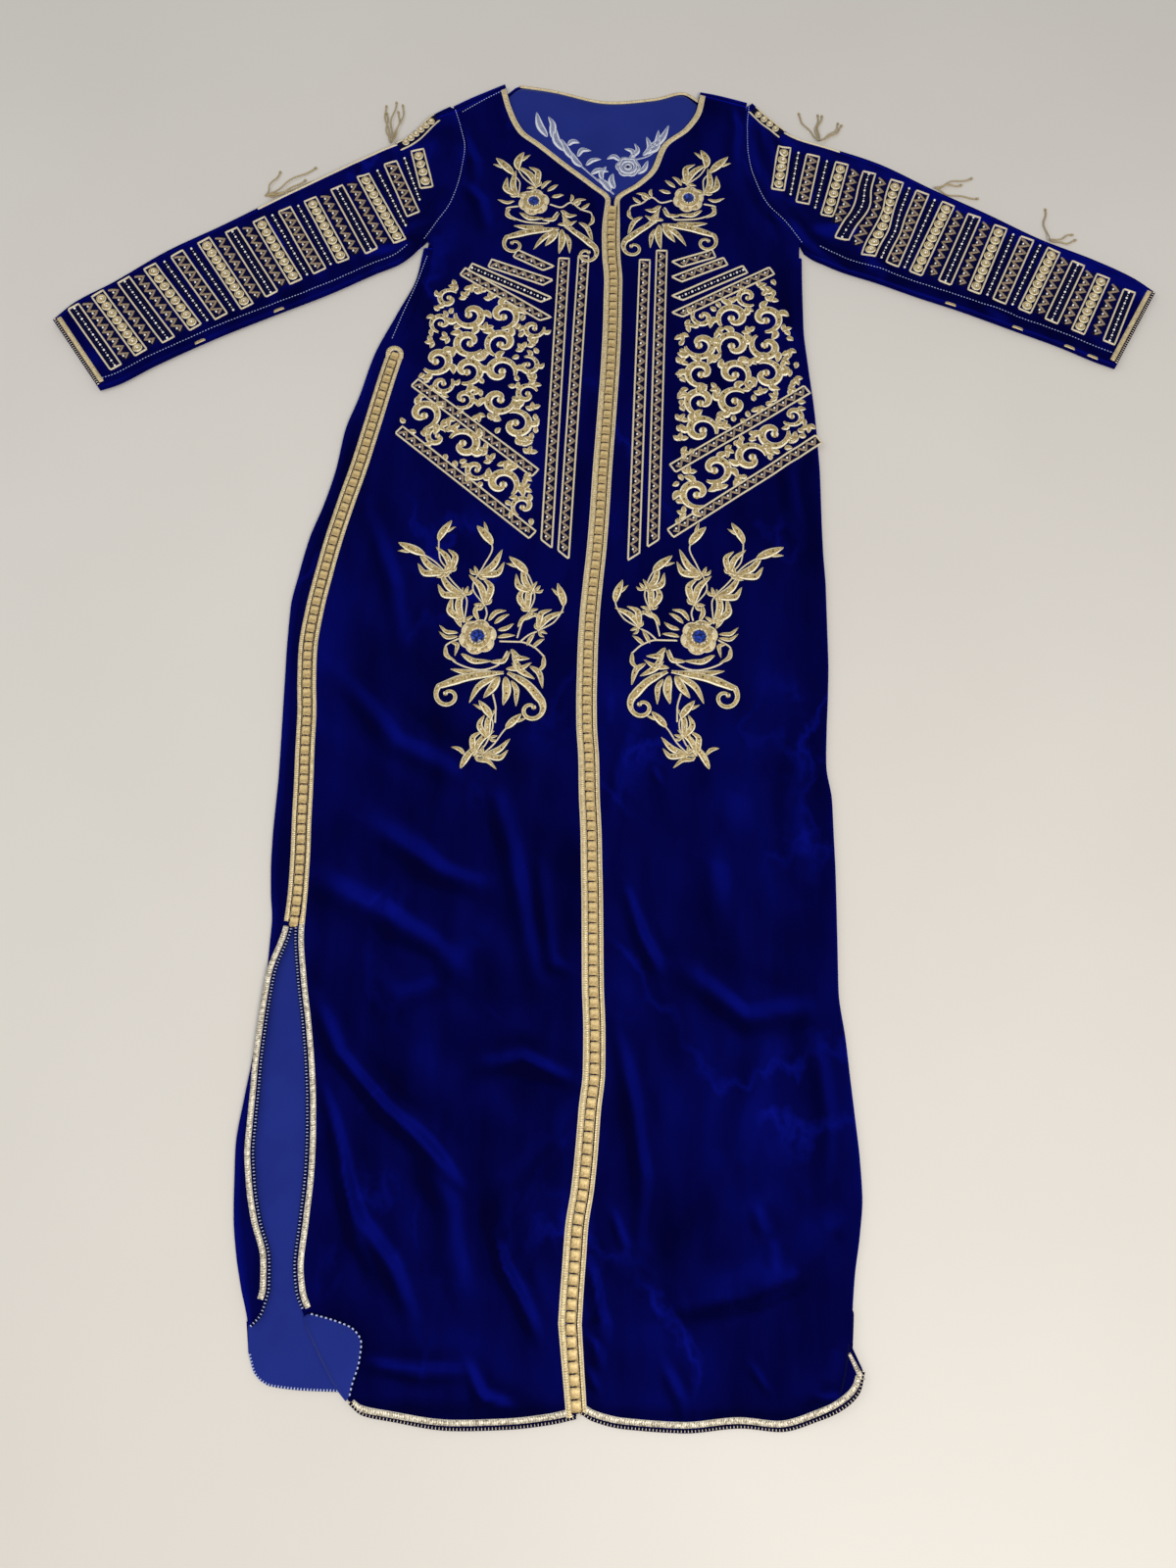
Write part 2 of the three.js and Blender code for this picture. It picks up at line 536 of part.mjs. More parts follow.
// ---- what lies on the cloth ----

const bodyStart = RIGHT_TOP.length;
const SIDE_BRAID_ROW = 3;              // row of the body at the top of the side braid
const braidTop = bodyStart + SIDE_BRAID_ROW;
const hemRow = rightFront.length - 2;  // row at the corded edge of the hem
const inner = rightFront[0].length - 1;

// Braid along a hem, from the outer end to just short of the centre braid.
function hemBraid(grid, from, to) {
  const low = grid[hemRow].slice(from, to).map((p) => p.clone());
  const high = grid[hemRow - 1].slice(from, to).map((p) => p.clone());
  const pull = (line, i, k) => {
    const step = new THREE.Vector3().subVectors(line[k], line[i]).setLength(GAP);
    line[i].add(step);
  };
  for (const line of [low, high]) {
    pull(line, 0, 1);
    pull(line, line.length - 1, line.length - 2);
  }
  return strip(low, high, () => ({ lift: 2 * GAP }));
}

// A row of knotted buttons over two edges that meet.
function buttonRow(lineA, lineB) {
  const [a, b] = paced(lineA, lineB, BUTTON_PITCH / 2);
  const wide = a[0].distanceTo(b[0]);
  return strip(a, b, (i) => (i % 2
    ? { inset: wide / 2 - BUTTON_HALF, thick: BUTTON_THICK, lift: 2 * GAP }
    : { inset: wide / 2 - BUTTON_HALF / 2, thick: BUTTON_THICK / 2, lift: 2 * GAP }));
}

// The turn of the side braid above its top button: half a ring over the two edges.
function braidTurn(centre, outer, thick) {
  const steps = 6;
  const ring = Array.from({ length: steps + 1 }, (_, k) => {
    const turn = Math.PI * (1 - k / steps);
    return [outer - BRAID, outer].map((radius) => {
      const x = centre.x + radius * Math.cos(turn);
      const y = centre.y + radius * Math.sin(turn);
      return new THREE.Vector3(x, y, frontLevel(x, y));
    });
  });
  return strip(column(ring, 0), column(ring, 1), () => ({ thick, lift: 2 * GAP }));
}

function bandOnSleeve(ring, from, to, wide) {
  const count = ring[0].length;
  const foldTop = count - ARMHOLE_ROWS.length - 1;
  const edge = column(ring, foldTop, from, to);
  const inside = column(ring, foldTop + 1, from, to).map((p, i) =>
    edge[i].clone().lerp(p, Math.min(1, wide / edge[i].distanceTo(p))));
  const lines = [edge.map((p) => p.clone()), inside];
  for (const line of lines) line[0].lerp(line[1], GAP / line[0].distanceTo(line[1]));
  return lines;
}

function cuffBraid(ring, flip) {
  const last = ring.length - 2;
  const first = ring[0].length - ARMHOLE_ROWS.length - 1;
  const low = ring[last].slice(first);
  const high = ring[last - 1].slice(first);
  return flip ? strip(high, low, plainStrip) : strip(low, high, plainStrip);
}

// ---- the garment ----

add('back', flatPiece(BACK_NECK, BACK_TOP, UNDER_LAP + GAP, seamGap, BACK_HEM, 0, CLOTH),
  COLOURS.velvet);
add('back_side_fold', wall([...sideFold].reverse(), CLOTH), COLOURS.velvet);
add('shoulder_fold_right', wall(rightShoulder, CLOTH), COLOURS.velvet);
add('shoulder_fold_left', wall(leftShoulder, CLOTH), COLOURS.velvet);
add('lining_back', flatPiece(LINING_NECK, LINING_TOP, LINING_INSET, LINING_INSET, LINING_HEM,
  LINING_Z - LINING / 2, LINING_Z + LINING / 2), COLOURS.lining);
add('front_right', wall(rightFront, CLOTH), COLOURS.velvet);
add('front_right_corner', wall(turnedCorner, CLOTH), COLOURS.lining);
add('front_left', wall(leftFront, CLOTH), COLOURS.velvet);
add('front_left_under_fold', wall(underFold, CLOTH), COLOURS.velvet);
add('sleeve_right', wall([...rightSleeve].reverse(), CLOTH), COLOURS.velvet);
add('sleeve_left', wall(leftSleeve, CLOTH), COLOURS.velvet);

// Braids. Each neck braid runs on down the centre to the hem, and each side braid down the slit.
add('neck_front_braid_right', strip(column(rightFront, inner - 2, 0, hemRow + 1),
  column(rightFront, inner - 1, 0, hemRow + 1), plainStrip), COLOURS.gold);
add('neck_front_braid_left', strip(column(leftFront, 1, 0, hemRow + 1),
  column(leftFront, 2, 0, hemRow + 1), plainStrip), COLOURS.gold);
add('hem_braid_right', hemBraid(rightFront, 0, inner - 1), COLOURS.gold);
add('hem_braid_left', hemBraid(leftFront, 2, inner + 1), COLOURS.gold);
add('side_slit_braid_back', strip(column(sideFold, 2, SIDE_BRAID_ROW),
  column(sideFold, 1, SIDE_BRAID_ROW), plainStrip), COLOURS.gold);
add('side_slit_braid_front', strip(column(rightFront, 1, braidTop, hemRow - 3),
  column(rightFront, 2, braidTop, hemRow - 3), plainStrip), COLOURS.gold);
const turnAt = BODY[SIDE_BRAID_ROW];
add('side_braid_turn', braidTurn({ x: turnAt.front, y: turnAt.y + 2 * GAP }, CORD_EDGE + BRAID,
  BRAID_THICK), COLOURS.gold);
const neckLine = (down) => BACK_NECK.filter((p) => p.x > NECK_CORD_FROM && p.x < NECK_CORD_TO)
  .map((p) => new THREE.Vector3(p.x, p.y - down, BACK_Z));
add('back_neck_cord', strip(neckLine(NECK_CORD), neckLine(0), plainStrip), COLOURS.cream);
add('cuff_braid_right', cuffBraid(rightSleeve, false), COLOURS.gold);
add('cuff_braid_left', cuffBraid(leftSleeve, true), COLOURS.gold);

// Buttons: the front row from the point of the neck to the hem, the side row down to the slit.
const slitTop = BODY.findIndex((row) => row.back !== row.front);
add('front_buttons', buttonRow(column(rightFront, inner - 1, bodyStart - 1, hemRow),
  column(leftFront, 1, bodyStart - 1, hemRow)), COLOURS.gold);
add('side_buttons', buttonRow(column(sideFold, 1, SIDE_BRAID_ROW, slitTop + 1),
  column(rightFront, 1, braidTop, bodyStart + slitTop + 1)), COLOURS.gold);

// Bands and cords on the top folds of the sleeves.
const SLEEVE_CORD = 2.4;
const BAND_TO = 3;
const CORD_TO = { right: 6, left: 5 };
const onSleeve = (lines, flip) => (flip ? strip(lines[0], lines[1], plainStrip)
  : strip(lines[1], lines[0], plainStrip));
add('sleeve_band_right', onSleeve(bandOnSleeve(rightSleeve, 1, BAND_TO + 1, BAND - ROLL), false),
  COLOURS.gold);
add('sleeve_band_left', onSleeve(bandOnSleeve(leftSleeve, 1, BAND_TO + 1, BAND - ROLL), true),
  COLOURS.gold);
add('sleeve_cord_right', onSleeve(bandOnSleeve(rightSleeve, BAND_TO, CORD_TO.right + 1,
  SLEEVE_CORD), false), COLOURS.cream);
add('sleeve_cord_left', onSleeve(bandOnSleeve(leftSleeve, BAND_TO, CORD_TO.left + 1,
  SLEEVE_CORD), true), COLOURS.cream);

// Stones, each on its padded rosette, which clears the cloth at every side of its rim.
function turned(name, profile, radius, high, place, z, material) {
  const points = profile.map(([x, y]) => new THREE.Vector2(x * radius, y * high));
  const mesh = add(name, new THREE.LatheGeometry(points, ROUND_SIDES), material);
  mesh.rotation.x = Math.PI / 2;
  mesh.position.set(place.x, place.y, z);
}

for (const stone of STONES) {
  const wide = stone.radius + ROSETTE_WIDER;
  const rim = Array.from({ length: ROUND_SIDES }, (_, i) => (2 * Math.PI * i) / ROUND_SIDES);
  const levels = [0, ...rim.map((turn) =>
    frontLevel(stone.x + wide * Math.cos(turn), stone.y + wide * Math.sin(turn)))];
  const seat = Math.max(...levels) + CLOTH / 2 + GAP;
  turned(stone.name.replace('stone', 'rosette'), ROSETTE_PROFILE, wide, ROSETTE_HIGH, stone, seat,
    COLOURS.gold);
  turned(stone.name, STONE_PROFILE, stone.radius, STONE_HIGH, stone, seat + ROSETTE_HIGH + GAP,
    COLOURS.stone);
}

// Bunches of cord ends: the plain reach of each, lying on the ground.
for (const tassel of TASSELS) {
  const shape = new THREE.Shape();
  shape.moveTo(tassel.x - TASSEL_ROOT, tassel.y);
  shape.lineTo(tassel.xb, tassel.yb);
  shape.lineTo(tassel.xa, tassel.ya);
  const geometry = new THREE.ExtrudeGeometry(shape, { depth: TASSEL_THICK, bevelEnabled: false });
  geometry.translate(0, 0, TASSEL_LIFT);
  add(tassel.name, geometry, COLOURS.cream);
}

// The origin is the middle of the garment's outline, on the ground.
const outline = new THREE.Box3().setFromObject(root);
const middle = outline.getCenter(new THREE.Vector3());
root.position.set(-middle.x, -middle.y, -outline.min.z);

export default root;
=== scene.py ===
"""A velvet kaftan laid flat, face up, on a pale floor: cloth, trims, embroidery, light and camera.

Sizes are in millimetres on the cutting table, +X to the wearer's left, +Y to the neck, +Z up. They
turn into metres in the row frame only where a mesh is made.
"""

import logging
import math
from collections.abc import Callable, Sequence
from dataclasses import dataclass, field
from enum import Enum

import bpy
import numpy as np
from mathutils import Matrix, Vector


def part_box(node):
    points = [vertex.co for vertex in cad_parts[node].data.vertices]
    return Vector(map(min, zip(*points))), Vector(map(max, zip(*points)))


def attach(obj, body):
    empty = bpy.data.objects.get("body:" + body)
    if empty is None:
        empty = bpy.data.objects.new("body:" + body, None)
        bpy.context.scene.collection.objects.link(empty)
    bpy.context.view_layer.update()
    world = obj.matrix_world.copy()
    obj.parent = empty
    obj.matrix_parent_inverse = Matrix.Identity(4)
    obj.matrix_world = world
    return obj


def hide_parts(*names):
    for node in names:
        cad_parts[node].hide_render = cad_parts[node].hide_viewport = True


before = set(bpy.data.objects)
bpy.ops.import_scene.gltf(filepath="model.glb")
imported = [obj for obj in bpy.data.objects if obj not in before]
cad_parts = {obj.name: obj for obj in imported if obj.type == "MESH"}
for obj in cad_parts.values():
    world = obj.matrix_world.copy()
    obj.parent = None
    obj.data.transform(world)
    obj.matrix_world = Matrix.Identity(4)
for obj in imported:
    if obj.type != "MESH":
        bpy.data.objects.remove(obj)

log = logging.getLogger("kaftan")
Array = np.ndarray
Pair = tuple[float, float]
Colour = tuple[float, float, float]

# ---- cloth sizes, shared by every panel ----
CLOTH = 1.5
LINING = 1.0
GAP = 0.3
ROLL = 3.4
FOLD_STEPS = 7
CORD_EDGE = 4.0
BRAID = 5.3
BACK_Z = CLOTH / 2
LINING_Z = CLOTH + GAP + LINING / 2
FRONT_Z = CLOTH + LINING + 2 * GAP + CLOTH / 2
SLEEVE_Z = 2 * CLOTH + GAP
FOLD_TOP_Z = 2 * ROLL - CLOTH / 2
HEM_Z = CLOTH / 2 + 0.5

# How far the foot of a laid stroke and of a dome lies sunk in the cloth.
SUNK_STROKE = 0.3
SUNK_DOME = 0.2

# Middles of the four stones: upper right, upper left, lower right, lower left.
STONES = ((-88, 546), (89, 556), (-124, 6), (101, 12))

# Cut of the body below the armholes: level, outer side of the right fold, back and front edge of the
# right side seam and slit, meeting line of the fronts, outer side of the left fold, turn-under there.
BODY = np.array([
    (478, -210, -199, -199, 2, 217.5, 12), (440, -215, -203, -203, 5, 217, 24),
    (390, -234, -215, -215, 5, 217, 32), (336, -255, -232, -232, 4, 221, 35),
    (284, -267, -243, -243, 2, 226, 35), (240, -279, -251.5, -251.5, 0, 228.5, 35),
    (197, -284, -260, -260, -2, 230, 35), (154, -293, -270, -270, -3.5, 230, 35),
    (112, -305, -279, -279, -5.5, 230.5, 35), (71, -312, -286, -286, -8.5, 232, 35),
    (32, -317, -291.5, -291.5, -11, 232, 35), (-8, -316.5, -294.5, -294.5, -12, 232, 35),
    (-46, -315, -292.5, -292.5, -12, 230.5, 35), (-84, -313.5, -289, -289, -11, 228, 35),
    (-121, -312, -287.5, -287.5, -8, 226.5, 35), (-157, -311, -285.5, -285.5, -6.5, 231, 35),
    (-193, -311, -284, -284, -4, 231.5, 35), (-228, -310, -282, -282, -2.5, 232, 35),
    (-262, -307, -281, -281, -1, 231.8, 35), (-293, -303, -282, -281, 0, 231.5, 35),
    (-340, -303, -293.5, -275, 1.5, 231, 35), (-385, -305.5, -296.5, -266, 4, 236, 35),
    (-420, -308.5, -297.5, -260, 4.5, 239, 35), (-454, -312, -297, -255.5, 1.5, 242, 35),
    (-490, -315, -297, -252.5, -0.5, 245, 35), (-521, -313, -293, -251.5, -3, 246, 35),
    (-554, -310, -285, -252.5, -7.5, 242.5, 35), (-586, -304, -273.5, -254, -9, 237, 35),
    (-612, -297, -271, -250, -10.3, 234, 35)])
STRIP_END = np.array([(-631, -290.5, -276), (-640, -288, -283.3)])

# Fronts above that: outer edge and inner edge of each row, and the braid's inset from the inner edge.
RIGHT_TOP = np.array([
    (-182, 674, -127, 708, 0.8), (-175, 652, -120, 683, 0.8), (-168, 617, -104, 648, 0.8),
    (-170, 594, -80, 627, 0.8), (-173, 571, -47, 597, 0.8), (-181, 541, -17, 571, 0.8),
    (-194, 516, 2, 552, 2), (-207, 491, 1, 510, CORD_EDGE)])
LEFT_TOP = np.array([
    (157, 690, 102, 706, 0.8), (155, 664, 98, 684, 0.8), (155, 638, 84, 658, 0.8),
    (158, 606, 58, 632, 0.8), (165, 578, 45, 596, 0.8), (177, 550, 27, 574, 0.8),
    (197, 528, 2, 552, 2), (215, 500, 1, 510, CORD_EDGE)])
RIGHT_ENDS = ((-240, -632, -11, -632, CORD_EDGE),)
LEFT_ENDS = ((234, -614.5, -10.4, -614.5, CORD_EDGE), (232, -645, -11, -632, CORD_EDGE))
RIGHT_HEM = np.array([(-195, -699), (-183, -708), (-160, -712), (-108, -718), (-62, -716),
                      (-24, -711), (-3, -706)], float)
LEFT_HEM = np.array([(241, -664), (237, -679), (225, -691), (203, -702), (168, -712), (138, -710),
                     (87, -715), (37, -713), (12, -708), (-3.8, -699)], float)
BACK_HEM = np.array([(-286, -662), (-278, -680), (-264, -688), (-230, -690.5), (-120, -691),
                     (20, -691), (196, -690)], float)
CORNER = np.array([
    (-241, -632, -236, -629), (-236, -642, -214, -634), (-229, -654, -196, -641),
    (-221, -667, -189, -652), (-213, -679, -190, -667), (-206, -689, -194, -682),
    (-199, -697, -196, -693)], float)
BACK_NECK = np.array([(-179, 669), (-127, 703), (-111, 717), (-77, 712), (-4, 696), (50, 703),
                      (82, 713), (102, 701), (156.5, 685)], float)
BACK_SIDES = np.array([
    (690, -179, 156), (655, -175.5, 154), (617, -168, 156), (578, -172, 162), (550, -178, 174),
    (528, -188, 193), (516, -194, 202), (500, -202, 211), (478, -207, 205)])
RIGHT_SHOULDER = np.array([(-129, 716), (-147, 706), (-168, 694), (-188, 681)], float)
LEFT_SHOULDER = np.array([(103, 712), (119, 709), (138, 704), (158, 698)], float)
RIGHT_SLEEVE = np.array([
    (-191, 681, -213.5, 484), (-210, 668, -220, 474), (-238, 633, -226, 467),
    (-270, 614, -236, 458), (-324, 580, -262, 444), (-391, 536, -312, 415),
    (-440, 503, -369, 386), (-498, 466, -430, 354), (-553, 422, -492, 317),
    (-592, 394, -531, 291), (-612, 371, -548, 284)])
LEFT_SLEEVE = np.array([
    (163, 698, 221, 487), (184, 674, 231, 479), (213, 650, 243, 473), (252, 636, 262, 464),
    (308, 615, 302, 450), (370, 580, 345, 433), (430, 548, 392, 416), (490, 514, 446, 394),
    (548, 488, 500, 372), (590, 465, 538, 354), (613, 446, 558, 346)])

# Creases of the skirt and yoke: half width and rise, then the points of the line.
FRONT_CREASES = (
    (6.7, 3.4, (-256, -361), (-231, -410), (-187, -456), (-140, -494), (-103, -530)),
    (5.9, 3.0, (-243, -432), (-219, -500), (-203, -565), (-180, -600)),
    (7.4, 3.2, (-223, -504), (-197, -557), (-168, -593), (-149, -630)),
    (5.2, 4.0, (-13, -478), (-42, -512), (-60, -545), (-77, -566), (-72, -586), (-56, -612),
     (-39, -645)),
    (8.1, 3.0, (-4, -440), (-30, -480), (-68, -520), (-90, -560)),
    (10.4, 2.4, (-215, -196), (-150, -238), (-99, -255)),
    (11.8, 2.6, (-268, -250), (-210, -277), (-150, -310), (-110, -350)),
    (9.6, 3.0, (-104, -148), (-82, -216), (-65, -292), (-52, -350)),
    (7.4, 2.6, (-55, -215), (-47, -273), (-38, -322), (-16, -330)),
    (6.7, 2.4, (-100, -420), (-60, -412), (-14, -430)),
    (10.4, 2.2, (-185, -365), (-141, -345), (-108, -300)),
    (11.1, 2.6, (-164, -455), (-122, -540), (-108, -620)),
    (11.8, 2.2, (-260, -40), (-200, -110), (-120, -150)),
    (8.9, 1.8, (-250, 150), (-215, 60), (-200, -20)),
    (5.9, 2.2, (34, -90), (20, -140), (10, -190)),
    (5.9, 2.8, (30, -245), (45, -295), (62, -330)),
    (6.7, 2.6, (22, -375), (40, -450), (50, -510), (46, -580)),
    (12.6, 3.4, (171, -362), (152, -422), (129, -491), (89, -542), (52, -585)),
    (10.4, 2.8, (84, -326), (144, -369), (216, -358)),
    (13.3, 3.2, (232, -530), (175, -588), (90, -616)),
    (9.6, 2.6, (207, -376), (216, -463), (207, -535)),
    (6.7, 2.6, (220, -646), (207, -676), (184, -694)),
    (5.9, 2.4, (4, -584), (17, -631), (6, -676)),
    (13.3, 2.0, (205, -60), (190, -160), (200, -260)),
    (11.8, 1.8, (140, -150), (110, -220), (120, -300)),
    (8.9, 1.8, (205, 300), (196, 200), (204, 100)),
    (4.4, 2.0, (-184, -669), (-137, -675), (-97, -671)),
    (4.4, 2.2, (-97, -668), (-85, -692), (-55, -700)),
    (7.4, 2.2, (-172, 571), (-150, 545), (-142, 505)),
    (5.9, 2.6, (139, 700), (144, 660), (138, 610)),
    (6.7, 2.2, (158, 600), (172, 560), (196, 520)),
    (7.4, 2.0, (-178, 640), (-160, 600), (-158, 560)),
    (6.7, 2.4, (-200, 470), (-206, 430), (-222, 380)),
    (6.7, 2.2, (208, 470), (205, 420), (209, 360)),
    (3.2, 1.6, (31, -101), (24, -114), (19, -132), (17, -156)),
    (3.2, 1.2, (13, -54), (7, -78), (6, -84)),
    (3.0, 1.0, (57, -129), (60, -145)),
    (3.2, 1.8, (6, -584), (12, -609), (12, -624), (3, -632)),
    (3.2, 1.6, (4, -641), (12, -652), (15, -666)),
    (3.4, 1.6, (6, -668), (13, -685)),
    (4.0, 1.5, (24, -539), (35, -572)),
    (4.5, 1.6, (71, -663), (81, -687), (85, -693)),
    (4.5, 1.4, (142, -656), (161, -685)),
    (3.6, 1.8, (199, -687), (213, -685), (221, -683)),
    (7.5, 2.6, (239, -541), (215, -552), (207, -568), (190, -589), (146, -609), (77, -622)),
    (5.0, 1.4, (167, -561), (161, -584)),
    (5.0, 1.4, (151, -532), (153, -555)),
)
RIGHT_SLEEVE_CREASES = (
    (9, 3.0, (-196, 652), (-206, 600), (-222, 560)), (8, 3.4, (-186, 560), (-210, 522), (-252, 492)),
    (7, 2.8, (-200, 500), (-235, 486), (-285, 470)), (8, 1.6, (-330, 452), (-352, 432), (-372, 424)),
    (8, 1.8, (-392, 520), (-372, 500), (-362, 480)), (8, 1.8, (-470, 372), (-486, 356), (-500, 338)),
    (8, 1.6, (-300, 585), (-288, 562), (-284, 540)), (8, 1.6, (-520, 440), (-506, 424), (-498, 410)))
LEFT_SLEEVE_CREASES = (
    (6, 3.2, (162, 674), (172, 617), (186, 569)), (6, 2.8, (178, 668), (192, 625), (204, 580)),
    (8, 2.6, (199, 545), (222, 508), (250, 482)), (11, 3.6, (222, 520), (262, 530), (292, 520)),
    (9, 2.6, (296, 505), (300, 480), (318, 462)), (8, 1.8, (420, 430), (436, 414), (452, 404)),
    (8, 1.6, (384, 562), (378, 545), (380, 528)), (8, 1.6, (500, 500), (492, 484), (492, 468)))
LINING_NECK = np.array([(-126, 696), (-108, 712), (-77, 708.5), (-4, 692.5), (50, 699.5), (80, 708.5),
                        (100, 694)], float)
LINING_CREASES = (
    (4, 1.5, (-291, -440), (-283, -490), (-268, -540), (-262, -605)),
    (3, 1.2, (-272, -612), (-258, -622), (-244, -634)), (5, 1.2, (-276, -645), (-270, -665), (-271, -684)),
    (6, 0.8, (-60, 690), (-40, 640), (-30, 600)), (7, 0.8, (60, 700), (52, 660), (40, 620)))


# ---- small geometry ----


def soft(t: Array) -> Array:
    """Eases a share from 0 to 1 with flat ends."""
    t = np.clip(t, 0, 1)
    return t * t * (3 - 2 * t)


def bell(distance: Array, wide: float) -> Array:
    """Falls from 1 at no distance, smoothly, over a width."""
    return np.exp(-((distance / wide) ** 2))


def between(first: Array, last: Array, share: float | Array) -> Array:
    """Values at a share of the way from first to last."""
    return first * (1 - share) + last * share


def unit(vectors: Array) -> Array:
    """Vectors brought to length 1."""
    return vectors / np.maximum(np.linalg.norm(vectors, axis=-1, keepdims=True), 1e-9)


def right_of(ahead: Array) -> Array:
    """Directions a quarter turn to the right of others."""
    return np.stack([ahead[..., 1], -ahead[..., 0]], -1)


def spokes(angle: Array) -> Array:
    """Unit directions at angles."""
    return np.stack([np.cos(angle), np.sin(angle)], -1)


def round_angles(count: int) -> Array:
    """Angles at even steps round a circle."""
    return np.arange(count) * 2 * math.pi / count


def smooth(knots: Array, values: Array, at: Array) -> Array:
    """Reads a table between its rows along curves that never overshoot a row.

    Args:
        knots: place of each row, rising.
        values: one row of values for each knot.
        at: the places to read.

    Returns:
        One row of values for each place.
    """
    rate = np.diff(values, axis=0) / np.diff(knots)[:, None]
    slope = np.zeros(values.shape)
    before, after = rate[:-1], rate[1:]
    same = before * after > 0
    slope[1:-1] = np.where(same, 2 * before * after / np.where(same, before + after, 1), 0)
    slope[0], slope[-1] = rate[0], rate[-1]
    spot = np.clip(np.searchsorted(knots, at, side="right") - 1, 0, len(knots) - 2)
    wide = (knots[spot + 1] - knots[spot])[:, None]
    t = np.clip((at - knots[spot])[:, None] / wide, 0, 1)
    return ((1 + 2 * t) * (1 - t) ** 2 * values[spot] + t * (1 - t) ** 2 * wide * slope[spot]
            + t * t * (3 - 2 * t) * values[spot + 1] + t * t * (t - 1) * wide * slope[spot + 1])


def lengths(points: Array) -> Array:
    """Distance run along a line at each of its points."""
    return np.concatenate([[0], np.cumsum(np.linalg.norm(np.diff(points[:, :2], axis=0), axis=1))])


def paced(points: Sequence, step: float) -> Array:
    """A smooth line through points.

    Args:
        points: the points.
        step: distance between the line's own points.

    Returns:
        Points of the line.
    """
    points = np.asarray(points, float)
    run = lengths(points)
    count = max(2, int(round(run[-1] / step)) + 1)
    return smooth(run, points, np.linspace(0, run[-1], count))


def spots(line: Array, at: Array) -> Array:
    """Places on a line at distances run along it."""
    run = lengths(line)
    return np.column_stack([np.interp(at, run, part) for part in line.T])


def spread(line: Array, share: Array) -> Array:
    """Places on a line at shares of its length."""
    return spots(line, share * lengths(line)[-1])


def beside(path: Array, off: float) -> Array:
    """A line that runs at a distance to the right of a path."""
    return path + right_of(unit(np.gradient(path, axis=0))) * off


def to_line(line: Sequence, xy: Array) -> tuple[Array, Array]:
    """Finds how far places are from a line.

    Args:
        line: points of the line.
        xy: the places.

    Returns:
        Signed distance to the line, positive on its left, and the share of its length run there.
    """
    line = np.asarray(line, float)
    run = lengths(line)
    best = np.full(len(xy), 1e9)
    share = np.zeros(len(xy))
    for k in range(len(line) - 1):
        edge = line[k + 1] - line[k]
        off = xy - line[k]
        t = np.clip(off @ edge / (edge @ edge), 0, 1)
        gap = off - t[:, None] * edge
        far = np.hypot(gap[:, 0], gap[:, 1])
        side = np.where(edge[0] * off[:, 1] - edge[1] * off[:, 0] >= 0, 1, -1)
        near = far < np.abs(best)
        best = np.where(near, far * side, best)
        share = np.where(near, (run[k] + t * (run[k + 1] - run[k])) / run[-1], share)
    return best, share


def creased(creases: Sequence, xy: Array) -> Array:
    """Works out soft ridges, each with a shallow trough on one side.

    Args:
        creases: half width, rise and points of each.
        xy: the places.

    Returns:
        Rise at each place.
    """
    rise = np.zeros(len(xy))
    for wide, high, *line in creases:
        off, share = to_line(line, xy)
        fade = np.sin(np.pi * np.clip(share, 0.02, 0.98)) ** 0.7
        rise += high * fade * (bell(off, wide) - 0.4 * bell(off - 1.9 * wide, 1.3 * wide))
    return rise


def ripple(xy: Array, seed: int, wave: float) -> Array:
    """Works out low uneven swells from a few crossing waves.

    Args:
        xy: the places.
        seed: start of the random draws.
        wave: usual length of a wave.

    Returns:
        A value between about -1 and 1 at each place.
    """
    turns = np.random.default_rng(seed)
    total = np.zeros(len(xy))
    for _ in range(7):
        angle, phase = turns.uniform(0, 2 * np.pi, 2)
        size = wave * turns.uniform(0.7, 1.9)
        total += np.sin(xy @ spokes(angle) * 2 * np.pi / size + phase)
    return total / 4


def shift_from_frame() -> Array:
    """Finds the move from the cutting table to the row frame, from one stone whose place is known."""
    middle = np.mean(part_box("stone_lower_left"), axis=0) * 1000
    return np.array([*(middle[:2] - STONES[3]), 0.0])


SHIFT = shift_from_frame()


class Relief:
    """A height field over the cutting table, worked out once on a grid and read between its points."""

    step = 2.0

    def __init__(self, low: Pair, high: Pair, height: Callable[[Array], Array]) -> None:
        """Works out the field.

        Args:
            low: lowest corner of the field.
            high: highest corner of the field.
            height: gives the height at each of many places.
        """
        self.low = np.array(low, float)
        xs, ys = (np.arange(low[k], high[k] + self.step, self.step) for k in (0, 1))
        grid = np.stack(np.meshgrid(xs, ys, indexing="ij"), -1)
        z = height(grid.reshape(-1, 2)).reshape(len(xs), len(ys))
        self.field = np.stack([z, *np.gradient(z, self.step)], -1)

    def read(self, xy: Array) -> Array:
        """Reads the field.

        Args:
            xy: the places.

        Returns:
            Height and the two slopes at each place.
        """
        at = (xy - self.low) / self.step
        spot = np.clip(at.astype(int), 0, np.array(self.field.shape[:2]) - 2)
        t = np.clip(at - spot, 0, 1)
        i, j = spot.T
        f = self.field
        return between(between(f[i, j], f[i + 1, j], t[:, :1]),
                       between(f[i, j + 1], f[i + 1, j + 1], t[:, :1]), t[:, 1:])

    def place(self, xy: Array, lift: float | Array = 0.0) -> Array:
        """Lays places on the field.

        Args:
            xy: x and y of each, along the last axis.
            lift: how far each is moved out along the cloth's normal.

        Returns:
            The points, in the same layout.
        """
        xy = np.asarray(xy, float)
        flat = xy.reshape(-1, 2)
        read = self.read(flat)
        normal = unit(np.column_stack([-read[:, 1:], np.ones(len(flat))]))
        lift = np.broadcast_to(lift, xy.shape[:-1]).reshape(-1, 1)
        return (np.column_stack([flat, read[:, 0]]) + normal * lift).reshape(*xy.shape[:-1], 3)


